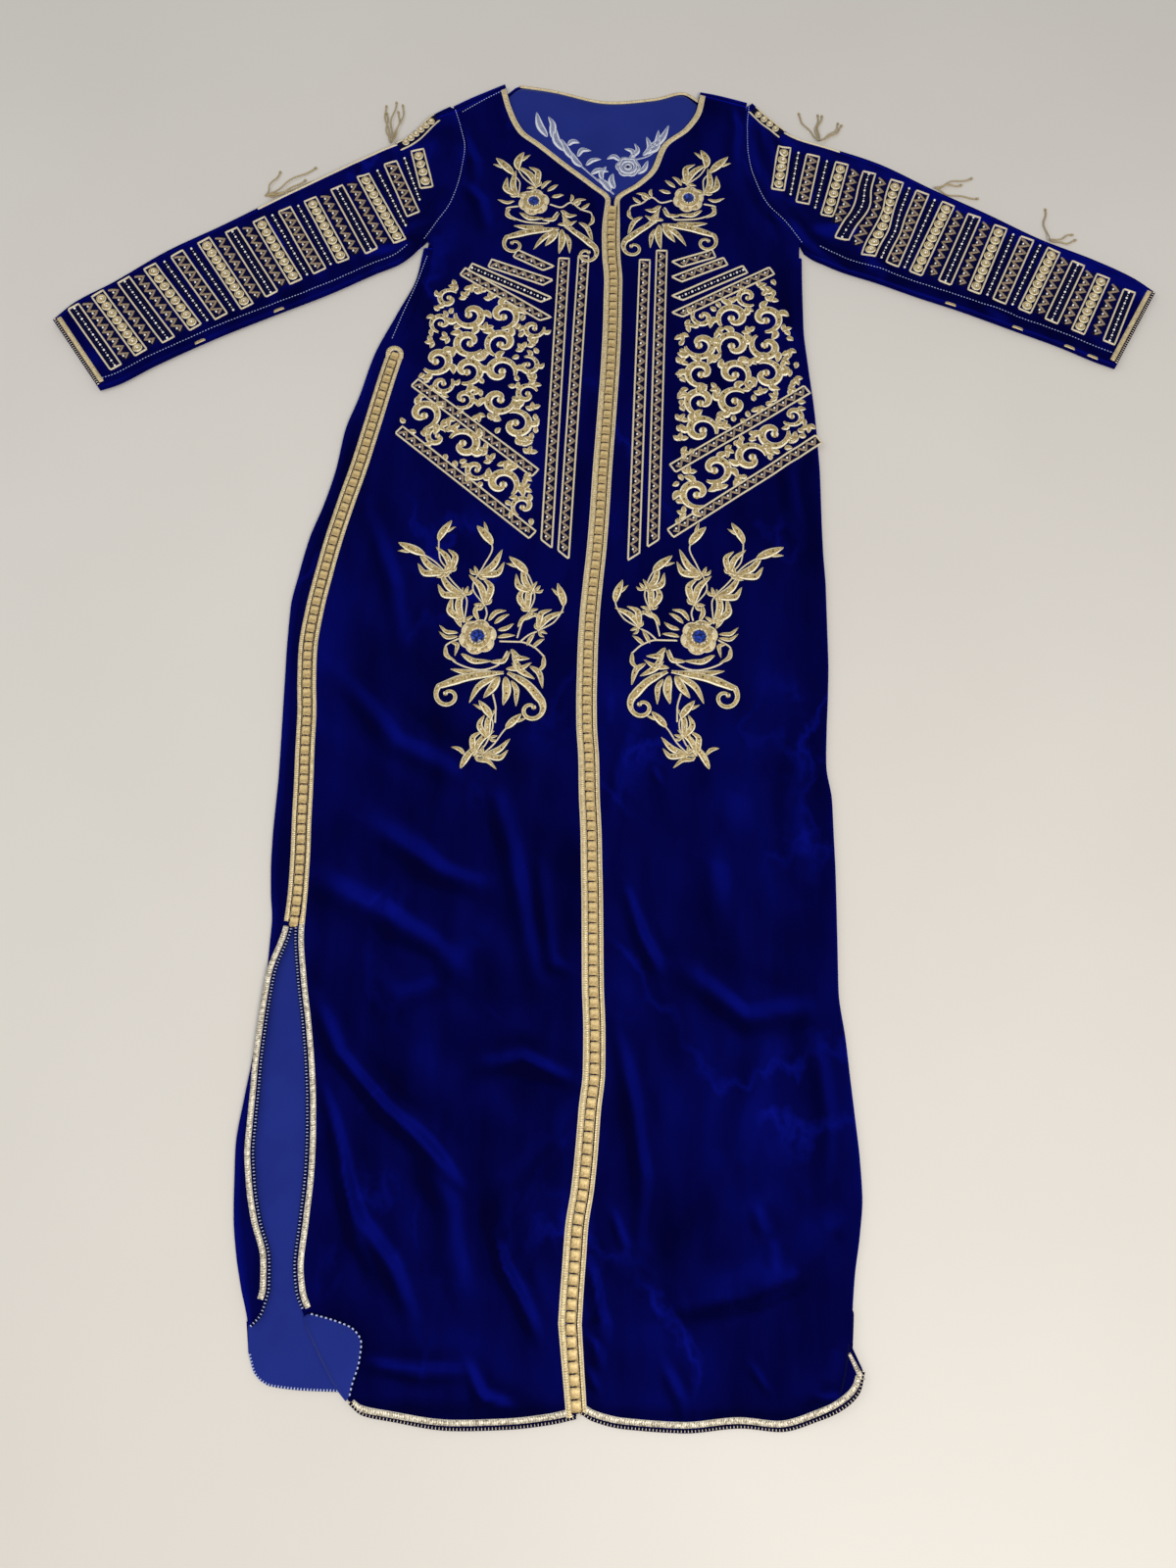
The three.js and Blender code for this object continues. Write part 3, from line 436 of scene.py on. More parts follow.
class Ground:
    """The heights of every layer that something lies on."""

    def __init__(self) -> None:
        """Works out the body, the two sleeves and the lining."""
        self.front = Relief((-330, -725), (256, 725), self.front_height)
        self.right = Relief((-620, 270), (-150, 700), lambda xy: self.sleeve_height(
            xy, RIGHT_SLEEVE, RIGHT_SLEEVE_CREASES, RIGHT_TOP, 5))
        self.left = Relief((140, 330), (620, 712), lambda xy: self.sleeve_height(
            xy, LEFT_SLEEVE, LEFT_SLEEVE_CREASES, LEFT_TOP, 8))
        self.lining = Relief((-320, -700), (230, 725), self.lining_height)

    @staticmethod
    def damped(wave: Array, most: float) -> Array:
        """Waves whose troughs go no deeper than most."""
        return np.where(wave > 0, wave, most * np.tanh(wave / most))

    @staticmethod
    def front_height(xy: Array) -> Array:
        """Mid-surface of the front layer: plump at folded sides and shoulders, sunk at the hem.

        Args:
            xy: the places.

        Returns:
            Height at each place.
        """
        edges = smooth(-BODY[:, 0], BODY[:, [1, 5]], -xy[:, 1])
        side = np.minimum(xy[:, 0] - edges[:, 0], edges[:, 1] - xy[:, 0])
        shoulder = np.minimum(*(np.abs(to_line(line, xy)[0]) for line in (RIGHT_SHOULDER, LEFT_SHOULDER)))
        near_side = bell(np.maximum(0, side - ROLL), 22) * soft((500 - xy[:, 1]) / 40)
        near_top = bell(np.maximum(0, shoulder - ROLL), 20)
        rim = (FOLD_TOP_Z - FRONT_Z) * np.maximum(near_side, near_top)
        skirt = 0.35 + 0.65 * soft((20 - xy[:, 1]) / 120)
        free = soft((side - ROLL) / 26) * (1 - near_top)
        wave = creased(FRONT_CREASES, xy) + skirt * (0.9 * ripple(xy, 3, 95) + 0.35 * ripple(xy, 4, 40))
        wave = Ground.damped(wave, 0.5)
        sunk = soft((-694 - xy[:, 1]) / 20)
        return between(FRONT_Z + 0.5 + rim + wave * free, HEM_Z + 0.4 * (wave > 0) * wave, sunk)

    def sleeve_height(self, xy: Array, cut: Array, creases: Sequence, armhole: Array, seed: int) -> Array:
        """Mid-surface of a sleeve's upper layer, which comes level with the front at the armhole.

        Args:
            xy: the places.
            cut: the sleeve's rows.
            creases: its creases.
            armhole: rows of the front beside it.
            seed: start of its swells' random draws.

        Returns:
            Height at each place.
        """
        top, low, hole = (np.abs(to_line(paced(line, 12), xy)[0])
                          for line in (cut[:, :2], cut[:, 2:], armhole[:, :2]))
        rim = np.maximum(bell(np.maximum(0, top - ROLL), 13), bell(np.maximum(0, low - ROLL), 15))
        wave = creased(creases, xy) + 0.5 * ripple(xy, seed, 60) + 0.4 * ripple(xy, seed + 9, 26)
        rise = self.damped(wave, 0.4) * soft(np.minimum(top, low) / 14)
        own = between(SLEEVE_Z + 0.7, FOLD_TOP_Z, rim) + rise
        return between(np.minimum(self.front.read(xy)[:, 0], FOLD_TOP_Z), own, soft(hole / 26))

    @staticmethod
    def lining_height(xy: Array) -> Array:
        """Mid-surface of the back's lining."""
        return LINING_Z + np.maximum(-0.1, creased(LINING_CREASES, xy) + 0.15 * ripple(xy, 12, 50))


# ---- shader desk ----


class Wire:
    """A shader value that takes part in plain arithmetic."""

    def __init__(self, desk: "Desk", socket: bpy.types.NodeSocket) -> None:
        """Keeps the desk that holds the socket."""
        self.desk = desk
        self.socket = socket

    def _math(self, operation: str, *values: object) -> "Wire":
        """Joins values with one Math node."""
        node = self.desk.node("ShaderNodeMath", {"operation": operation}, dict(enumerate(values)))
        return Wire(self.desk, node.outputs[0])

    def __add__(self, other: object) -> "Wire":
        """self + other"""
        return self._math("ADD", self, other)

    def __sub__(self, other: object) -> "Wire":
        """self - other"""
        return self._math("SUBTRACT", self, other)

    def __rsub__(self, other: object) -> "Wire":
        """other - self"""
        return self._math("SUBTRACT", other, self)

    def __mul__(self, other: object) -> "Wire":
        """self * other"""
        return self._math("MULTIPLY", self, other)

    def __pow__(self, other: object) -> "Wire":
        """self to the power of other"""
        return self._math("POWER", self, other)

    __radd__ = __add__
    __rmul__ = __mul__

    def sin(self) -> "Wire":
        """Sine of the value."""
        return self._math("SINE", self)

    def abs(self) -> "Wire":
        """The value without its sign."""
        return self._math("ABSOLUTE", self)

    def over(self, limit: float) -> "Wire":
        """1 where the value is over a limit, else 0."""
        return self._math("GREATER_THAN", self, limit)

    def clamp(self) -> "Wire":
        """The value held between 0 and 1."""
        return Wire(self.desk, self.desk.node("ShaderNodeClamp", {}, {0: self}).outputs[0])


class Desk:
    """The node tree of one finish."""

    def __init__(self, name: str) -> None:
        """Makes a material whose tree holds only a Principled shader and the output.

        Args:
            name: the material's name.
        """
        self.material = bpy.data.materials.new(name)
        self.material.use_nodes = True
        self.tree = self.material.node_tree
        self.tree.nodes.clear()
        self.shader = self.node("ShaderNodeBsdfPrincipled")
        self.tree.links.new(self.shader.outputs[0], self.node("ShaderNodeOutputMaterial").inputs[0])

    def feed(self, socket: bpy.types.NodeSocket, value: object) -> None:
        """Links a wire to a socket, or sets the socket to a plain value.

        Args:
            socket: the socket.
            value: the wire or the plain value.
        """
        if isinstance(value, Wire):
            self.tree.links.new(value.socket, socket)
        else:
            socket.default_value = value

    def node(self, kind: str, settings: dict | None = None, inputs: dict | None = None) -> bpy.types.Node:
        """Makes one node.

        Args:
            kind: node type.
            settings: properties, set before the sockets.
            inputs: socket name or number to a wire, or to a plain value.

        Returns:
            The node.
        """
        node = self.tree.nodes.new(kind)
        for key, value in (settings or {}).items():
            setattr(node, key, value)
        for key, value in (inputs or {}).items():
            self.feed(node.inputs[key], value)
        return node

    def set(self, **values: object) -> None:
        """Sets or links sockets of the Principled shader, with _ for a space in a name."""
        for key, value in values.items():
            self.feed(self.shader.inputs[key.replace("_", " ")], value)

    def mark(self, axis: int) -> Wire:
        """One part of the stitch mark.

        Args:
            axis: 0 for mm along, 1 for across from -1 to 1, 2 for shade from 0 to 1.

        Returns:
            The part.
        """
        marks = self.node("ShaderNodeAttribute", {"attribute_name": "stitch"})
        parts = self.node("ShaderNodeSeparateXYZ", {}, {0: Wire(self, marks.outputs["Vector"])})
        return Wire(self, parts.outputs[axis])

    def noise(self, scale: float, detail: float = 3.0, stretch: Sequence[float] = (1, 1, 1)) -> Wire:
        """Cloudy noise over the object's own place.

        Args:
            scale: lumps per metre.
            detail: octaves.
            stretch: share of the scale along each axis.

        Returns:
            A value from 0 to 1.
        """
        place = Wire(self, self.node("ShaderNodeTexCoord").outputs["Object"])
        sized = Wire(self, self.node("ShaderNodeMapping", {}, {0: place, "Scale": stretch}).outputs[0])
        node = self.node("ShaderNodeTexNoise", {}, {0: sized, "Scale": scale, "Detail": detail})
        return Wire(self, node.outputs[0])

    def mix(self, share: Wire, first: Colour | Wire, second: Colour | Wire) -> Wire:
        """Mixes two colours.

        Args:
            share: share of the second.
            first: a plain colour or a wire.
            second: a plain colour or a wire.

        Returns:
            The mixed colour.
        """
        first, second = (each if isinstance(each, Wire) else (*each, 1) for each in (first, second))
        node = self.node("ShaderNodeMix", {"data_type": "RGBA"}, {0: share, 6: first, 7: second})
        return Wire(self, node.outputs[2])

    def bump(self, height: Wire, strength: float, distance: float) -> None:
        """Feeds a height in metres times distance into the normal.

        Args:
            height: the height.
            strength: how strongly it shows.
            distance: metres for a height of 1.
        """
        wires = {"Height": height, "Strength": strength, "Distance": distance}
        node = self.node("ShaderNodeBump", {}, wires)
        self.set(Normal=Wire(self, node.outputs[0]))


class Finish:
    """What a piece is made of, as a material made once."""

    slot = "gold"
    title = "finish"

    def dress(self, desk: Desk) -> None:
        """Builds the finish's nodes."""
        raise NotImplementedError

    def material(self) -> bpy.types.Material:
        """The finish's material, made at its first use.

        Returns:
            The material.
        """
        name = f"{self.title}_finish"
        if name not in bpy.data.materials:
            self.dress(Desk(name))
        return bpy.data.materials[name]


@dataclass(frozen=True)
class Velvet(Finish):
    """Deep pile, painted lighter and darker by the slope of the cloth, with random streaks."""

    # Deep is the colour in painted shade, bright the colour in painted light; random streaks move it too.
    deep: Colour = (0.0004, 0.0003, 0.018)
    bright: Colour = (0.0035, 0.007, 0.27)
    sheen: Colour = (0.005, 0.012, 0.8)
    title: str = "velvet"
    slot = "velvet"

    def dress(self, desk: Desk) -> None:
        """Builds random streaks over the painted light and shade that the cloth's slope gives.

        Args:
            desk: the tree that they are built in.
        """
        cloud = desk.noise(9, 4, (1, 0.6, 1))
        streak = desk.noise(34, 3, (1, 0.25, 1))
        bruise = (1 - (desk.noise(11, 5, (1, 0.7, 1)) - 0.5).abs() * 30).clamp()
        patch = ((desk.noise(6, 2) - 0.52) * 7).clamp()
        # Mark 2 is the painted light and shade from the slope; the noises add random streaks and crushed
        # lines.
        painted_light = desk.mark(2) + (cloud - 0.5) * 0.5 + (streak - 0.5) * 0.35 + bruise * patch * 0.3
        colour = desk.mix(painted_light.clamp() ** 1.5, self.deep, self.bright)
        desk.set(Base_Color=colour, Roughness=0.9, Specular_IOR_Level=0.01, Sheen_Weight=0.5,
                 Sheen_Roughness=0.38, Sheen_Tint=(*self.sheen, 1))
        desk.bump(desk.noise(60, 4) + desk.noise(900, 2) * 0.15, 0.35, 0.002)


@dataclass(frozen=True)
class PlainCloth(Finish):
    """Matte plain weave."""

    colour: Colour = (0.006, 0.012, 0.13)
    light: Colour = (0.012, 0.025, 0.21)
    title: str = "plain_cloth"
    slot = "lining"

    def dress(self, desk: Desk) -> None:
        """Builds a soft unevenness and the weave's fine threads.

        Args:
            desk: the tree that they are built in.
        """
        cloud = desk.noise(14, 3)
        desk.set(Base_Color=desk.mix(cloud, self.colour, self.light), Roughness=0.8,
                 Specular_IOR_Level=0.1, Sheen_Weight=0.1, Sheen_Tint=(0.4, 0.5, 1, 1))
        desk.bump(desk.noise(45, 2) + desk.noise(2600, 1, (1, 0.2, 1)) * 0.2, 0.3, 0.002)


@dataclass(frozen=True)
class Thread(Finish):
    """Laid metal thread, with its stitches across and a paler cord at its edges."""

    colour: Colour = (0.70, 0.53, 0.22)
    edge: Colour = (1.0, 0.95, 0.78)
    # The thread in painted shade, between stitches and where the painted sparkle is dull.
    shaded: Colour = (0.20, 0.12, 0.035)
    pitch: float = 1.3
    slant: float = 2.2
    edge_from: float = 0.6
    sparkle_contrast: float = 1.7
    metal: float = 0.3
    rough: float = 0.42
    title: str = "gold_thread"
    slot = "gold"

    def dress(self, desk: Desk) -> None:
        """Builds the slanting stitches with painted shade between them, the edge, and a painted uneven
        sparkle.

        Args:
            desk: the tree that they are built in.
        """
        across = desk.mark(1).abs()
        wave = (desk.mark(0) * (2 * math.pi / self.pitch) + across * self.slant * 3).sin()
        # The stitch wave and the sparkle noise paint shade and glints into the laid thread's colour.
        painted_sparkle = (desk.noise(420, 2) - 0.5) * self.sparkle_contrast + 0.5
        lay = desk.mix((wave * 0.25 + painted_sparkle).clamp(), self.shaded, self.colour)
        rim = desk.mix((desk.noise(500, 2) * 1.2 + 0.1).clamp(), self.colour, self.edge)
        colour = desk.mix(across.over(self.edge_from), lay, rim)
        rough = desk.noise(300, 2) * 0.3 + (self.rough - 0.15)
        desk.set(Base_Color=colour, Metallic=self.metal, Roughness=rough)
        desk.bump(wave * 0.5 + desk.noise(1200, 2), 0.5, 0.0006)


@dataclass(frozen=True)
class Underside(Thread):
    """The reverse of laid thread."""

    slot = "cream"


@dataclass(frozen=True)
class Spun(Finish):
    """Plain spun thread, cord or knot."""

    colour: Colour = (0.90, 0.80, 0.58)
    shade: Colour = (0.46, 0.36, 0.20)
    metal: float = 0.2
    rough: float = 0.55
    grain: float = 700.0
    gloss: float = 0.4
    title: str = "cream_thread"
    slot = "cream"

    def dress(self, desk: Desk) -> None:
        """Builds a fine twist painted darker in its grooves, over uneven thread colour.

        Args:
            desk: the tree that they are built in.
        """
        # Shade is the thread's colour in painted shade, in the twist's grooves.
        twist = (desk.mark(0) * 3.1 + desk.mark(1) * 2.4).sin() * 0.25 + desk.noise(self.grain, 2)
        desk.set(Base_Color=desk.mix(twist.clamp(), self.shade, self.colour), Metallic=self.metal,
                 Roughness=self.rough, Specular_IOR_Level=self.gloss)
        desk.bump(twist, 0.45, 0.0006)


@dataclass(frozen=True)
class Glass(Finish):
    """Polished bead or stone."""

    colour: Colour = (0.001, 0.004, 0.055)
    # The colour of the painted glints.
    light: Colour = (0.012, 0.05, 0.38)
    title: str = "blue_stone"
    slot = "stone"

    def dress(self, desk: Desk) -> None:
        """Builds painted glints over its colour, under a sharp gloss.

        Args:
            desk: the tree that they are built in.
        """
        painted_glint = ((desk.noise(330, 1) - 0.5) * 5 + 0.3).clamp()
        desk.set(Base_Color=desk.mix(painted_glint, self.colour, self.light), Roughness=0.1,
                 Specular_IOR_Level=0.3)


@dataclass(frozen=True)
class Tile(Finish):
    """Pale floor."""

    colour: Colour = (0.60, 0.555, 0.49)
    light: Colour = (0.66, 0.615, 0.55)
    title: str = "tile"

    def dress(self, desk: Desk) -> None:
        """Builds faint clouding and a low gloss.

        Args:
            desk: the tree that they are built in.
        """
        desk.set(Base_Color=desk.mix(desk.noise(3, 5), self.colour, self.light), Roughness=0.5,
                 Specular_IOR_Level=0.3)


GOLD = Thread()
GOLD_FLAT = Thread(colour=(0.58, 0.43, 0.20), edge=(0.80, 0.68, 0.42), shaded=(0.24, 0.16, 0.06),
                   pitch=1.7, title="gold_ground")
BRAID_GOLD = Thread(colour=(0.86, 0.70, 0.40), edge=(0.95, 0.84, 0.58), shaded=(0.40, 0.29, 0.13),
                    pitch=2.1, slant=1.1, edge_from=0.9, metal=0.4, title="braid")
HEM_GOLD = Thread(colour=(0.88, 0.79, 0.60), edge=(0.96, 0.90, 0.74), shaded=(0.26, 0.21, 0.15),
                  pitch=2.1, slant=1.1, edge_from=0.92, metal=0.4, sparkle_contrast=3.0, title="hem_braid")
KNOT_GOLD = Spun(colour=(0.84, 0.62, 0.28), shade=(0.26, 0.17, 0.06), metal=0.3, rough=0.5,
                 title="knot_thread")
CREAM = Spun()
FRINGE = Spun(colour=(0.56, 0.44, 0.24), shade=(0.27, 0.20, 0.10), title="fringe_thread")
TAUPE = Spun(colour=(0.45, 0.33, 0.21), shade=(0.16, 0.11, 0.07), metal=0.35, title="taupe_thread")
REVERSE = Underside(colour=(0.36, 0.38, 0.46), edge=(0.88, 0.88, 0.90), shaded=(0.12, 0.14, 0.28),
                    edge_from=0.5, metal=0.1, rough=0.6, title="reverse_thread")
PALE_BLUE = Spun(colour=(0.55, 0.60, 0.80), shade=(0.20, 0.26, 0.55), metal=0.0,
                 title="pale_blue_thread")
NAVY = Spun(colour=(0.003, 0.003, 0.035), shade=(0.001, 0.001, 0.012), metal=0.0, rough=0.9, gloss=0.05,
            title="navy_thread")
PEARL = Glass(colour=(0.76, 0.73, 0.66), light=(0.94, 0.92, 0.86), title="white_bead")
BLUE_STONE = Glass()


# ---- meshes ----


def tiles(rows: int, cols: int, start: int = 0, close: bool = False) -> Array:
    """Four-cornered faces of a grid of points, facing up when columns run right and rows run down.

    Args:
        rows: number of rows.
        cols: number of columns.
        start: number of the first point.
        close: joins the last column to the first.

    Returns:
        One row of four point numbers for each face.
    """
    i, j = np.meshgrid(np.arange(rows - 1), np.arange(cols if close else cols - 1), indexing="ij")
    i, j = i.ravel(), j.ravel()
    k = (j + 1) % cols
    return start + np.column_stack([i * cols + j, (i + 1) * cols + j, (i + 1) * cols + k, i * cols + k])


@dataclass
class Piece:
    """One piece as it is built: points, a stitch mark at each, and faces."""

    name: str
    points: list[Array] = field(default_factory=list)
    marks: list[Array] = field(default_factory=list)
    faces: list[Array] = field(default_factory=list)
    count: int = 0

    def add(self, points: Array, marks: Array, *faces: Array) -> None:
        """Adds points and the faces on them.

        Args:
            points: the points.
            marks: stitch mark of each, or one for all.
            faces: arrays of faces, numbered from the first of the points.
        """
        self.points.append(points)
        self.marks.append(np.broadcast_to(marks, points.shape))
        self.faces.extend(face + self.count for face in faces)
        self.count += len(points)

    def make(self, finish: Finish, *replaced: str) -> bpy.types.Object:
        """Makes the Blender object, riding on the body, in place of CAD nodes.

        Args:
            finish: what the piece is made of.
            replaced: CAD nodes that the piece stands for.

        Returns:
            The object.
        """
        mesh = bpy.data.meshes.new("made_" + self.name)
        points = (np.concatenate(self.points) + SHIFT) / 1000
        mesh.vertices.add(len(points))
        mesh.vertices.foreach_set("co", points.astype(np.float32).ravel())
        corners = np.concatenate([face.ravel() for face in self.faces])
        sizes = np.concatenate([np.full(len(face), face.shape[1]) for face in self.faces])
        mesh.loops.add(len(corners))
        mesh.loops.foreach_set("vertex_index", corners.astype(np.int32))
        mesh.polygons.add(len(sizes))
        starts = np.concatenate([[0], np.cumsum(sizes)[:-1]])
        mesh.polygons.foreach_set("loop_start", starts.astype(np.int32))
        mesh.update(calc_edges=True)
        stitch = mesh.attributes.new("stitch", "FLOAT_VECTOR", "POINT")
        stitch.data.foreach_set("vector", np.concatenate(self.marks).astype(np.float32).ravel())
        mesh.shade_smooth()
        mesh.materials.append(finish.material())
        made = bpy.data.objects.new("made_" + self.name, mesh)
        bpy.context.scene.collection.objects.link(made)
        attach(made, "root")
        if replaced:
            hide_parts(*replaced)
        log.info("%s: %d points, %d triangles", self.name, len(points), int((sizes - 2).sum()))
        return made

    def wall(self, grid: Array, thick: float, painted_light: Array) -> None:
        """Adds a closed wall about a grid of mid-surface points.

        Args:
            grid: rows of columns of points, outside up.
            thick: thickness of the cloth.
            painted_light: painted light and shade at each point.
        """
        rows, cols = grid.shape[:2]
        low = rows * cols
        out = normals_of(grid) * thick / 2
        points = np.concatenate([(grid + out).reshape(-1, 3), (grid - out).reshape(-1, 3)])
        marks = np.column_stack([points[:, 1], np.zeros(2 * low), np.tile(painted_light.ravel(), 2)])
        number = np.arange(low).reshape(rows, cols)
        border = np.concatenate([number[0], number[1:, -1], number[-1, -2::-1], number[-2:0:-1, 0]])
        after = np.roll(border, -1)
        rim = np.column_stack([border, after, low + after, low + border])
        self.add(points, marks, tiles(rows, cols), tiles(rows, cols, low)[:, ::-1], rim)

    def tube(self, path: Array, radius: float, sides: int = 6) -> None:
        """Adds a round strand, closed at both ends.

        Args:
            path: points in space.
            radius: its radius.
            sides: corners round it.
        """
        ahead = unit(np.gradient(path, axis=0))
        side = unit(np.cross(ahead, [0.0, 0.0, 1.0]))
        turn = round_angles(sides)[None, :, None]
        ring = side[:, None] * np.cos(turn) + np.cross(side, ahead)[:, None] * np.sin(turn)
        points = (path[:, None] + ring * radius).reshape(-1, 3)
        marks = np.column_stack([np.repeat(lengths(path), sides), np.tile(np.cos(turn).ravel(), len(path)),
                                 np.full(len(points), 0.5)])
        ends = np.array([np.arange(sides), (len(path) - 1) * sides + np.arange(sides)[::-1]])
        self.add(points, marks, tiles(len(path), sides, close=True)[:, ::-1], ends)


def normals_of(grid: Array) -> Array:
    """Unit normal at each point of a grid, up when columns run right and rows run down."""
    return unit(np.cross(np.gradient(grid, axis=0), np.gradient(grid, axis=1)))


def area_of(grid: Array) -> float:
    """Area of a grid's sheet, in square metres."""
    cross = np.cross(grid[1:, 1:] - grid[:-1, :-1], grid[1:, :-1] - grid[:-1, 1:])
    return float(np.linalg.norm(cross, axis=2).sum() / 2e6)


def level_grid(x: Array, levels: Array) -> Array:
    """A flat grid from the x of each point and the level of each row."""
    return np.stack([x, np.broadcast_to(levels[:, None], x.shape)], 2)


def at_height(xy: Array, z: float) -> Array:
    """A flat grid laid at one height."""
    return np.concatenate([xy, np.full((*xy.shape[:2], 1), z)], 2)


def fold_round(edge: Array, inward: Array) -> Array:
    """Takes cloth round a fold, from its top to the ground side.

    Args:
        edge: outermost points of the fold, as x and y.
        inward: unit direction into the garment, at each or for all.

    Returns:
        A grid with one row for each edge point.
    """
    turn = np.linspace(0, math.pi, FOLD_STEPS + 1)
    radius = ROLL - CLOTH / 2
    inward = np.broadcast_to(inward, edge.shape)
    xy = edge[:, None] + inward[:, None] * (ROLL - radius * np.sin(turn))[:, None]
    z = np.broadcast_to(ROLL + radius * np.cos(turn), xy.shape[:2])
    return np.concatenate([xy, z[..., None]], 2)


# ---- cloth ----


@dataclass
class PaintedSlopeLight:
    """Painted light and shade of the velvet at each place, from how its surface slopes towards the light.
    """

    # towards: level direction to the light, whose facing slopes are painted lighter; bare: painted sheen on
    # every slope; rest: the shade of level cloth.
    towards: Pair = (0.45, 0.75)
    gain: float = 1.7
    bare: float = 0.4
    steepest: float = 0.42
    rest: float = 0.22

    def shade(self, grid: Array) -> Array:
        """Shade from 0 to 1 at each point of a grid.

        Args:
            grid: the points, row by row.

        Returns:
            The shade of each.
        """
        tilt = normals_of(grid)[..., :2]
        slope = tilt @ np.array(self.towards)
        lit = self.gain * slope + self.bare * np.abs(slope)
        return np.clip(self.rest + lit * bell(np.linalg.norm(tilt, axis=-1), self.steepest), 0, 1)


@dataclass
class FrontPanel:
    """One front: rows from its outer edge to its inner edge, then down to the hem."""

    ground: Ground
    top: Array
    outer: int
    rolled: float
    ends: tuple
    hem: Array
    step: float = 3.6
    hem_rows: int = 20

    def __post_init__(self) -> None:
        """Works out the fine rows."""
        body = np.column_stack([BODY[:, self.outer] - self.rolled, BODY[:, 0], BODY[:, 4], BODY[:, 0],
                                np.full(len(BODY), CORD_EDGE)])
        rows = np.concatenate([self.top, body, self.ends])
        run = lengths((rows[:, :2] + rows[:, 2:4]) / 2)
        self.rows = smooth(run, rows, np.linspace(0, run[-1], int(run[-1] / self.step)))
        self.low_outer, self.low_inner = np.array(self.ends[-1][:4]).reshape(2, 2)
        self.hem_line = paced(self.hem, 3.0)

    def across(self, t: float | Array) -> Array:
        """The line down the panel at a share of the rows' widths.

        Args:
            t: the share, for all rows or for each.

        Returns:
            One place for each row.
        """
        t = np.broadcast_to(t, len(self.rows) + self.hem_rows)[:, None]
        upper, lower = t[:len(self.rows)], t[len(self.rows):]
        start = between(self.low_outer, self.low_inner, lower)
        drop = np.linspace(0, 1, self.hem_rows + 1)[1:, None]
        return np.concatenate([between(self.rows[:, :2], self.rows[:, 2:4], upper),
                               between(start, spread(self.hem_line, lower[:, 0]), drop)])

    def widths(self) -> Array:
        """Width of every row.

        Returns:
            The width of each row, from the neck down.
        """
        own = np.linalg.norm(self.rows[:, 2:4] - self.rows[:, :2], axis=1)
        last = np.linalg.norm(self.low_inner - self.low_outer)
        return np.concatenate([own, np.full(self.hem_rows, last)])

    def from_inner(self, off: float | Array) -> Array:
        """The line at a distance from the inner edge."""
        return self.across(1 - off / self.widths())

    def from_outer(self, off: float) -> Array:
        """The line at a distance from the outer edge."""
        return self.across(off / self.widths())

    def insets(self) -> Array:
        """The braid's inset from the inner edge at every row."""
        return np.concatenate([self.rows[:, 4], np.full(self.hem_rows, CORD_EDGE)])

    def above_hem(self, off: float, margin: float = 0.0) -> Array:
        """The line at a distance above the hem.

        Args:
            off: the distance.
            margin: share of the hem left out at each end.

        Returns:
            Points of the line.
        """
        t = np.linspace(margin, 1 - margin, 90)
        low = spread(self.hem_line, t)
        return low + unit(between(self.low_outer, self.low_inner, t[:, None]) - low) * off

    def grid(self, cols: int = 78) -> Array:
        """Mid-surface points, outer edge first."""
        return self.ground.front.place(np.stack([self.across(t) for t in np.linspace(0, 1, cols)], 1))


@dataclass(frozen=True)
class Cut:
    """The flat cut of a sheet: width and length, area, and the CAD nodes that it lies on."""

    flat: Pair
    area: float
    under: tuple[str, ...] = ()


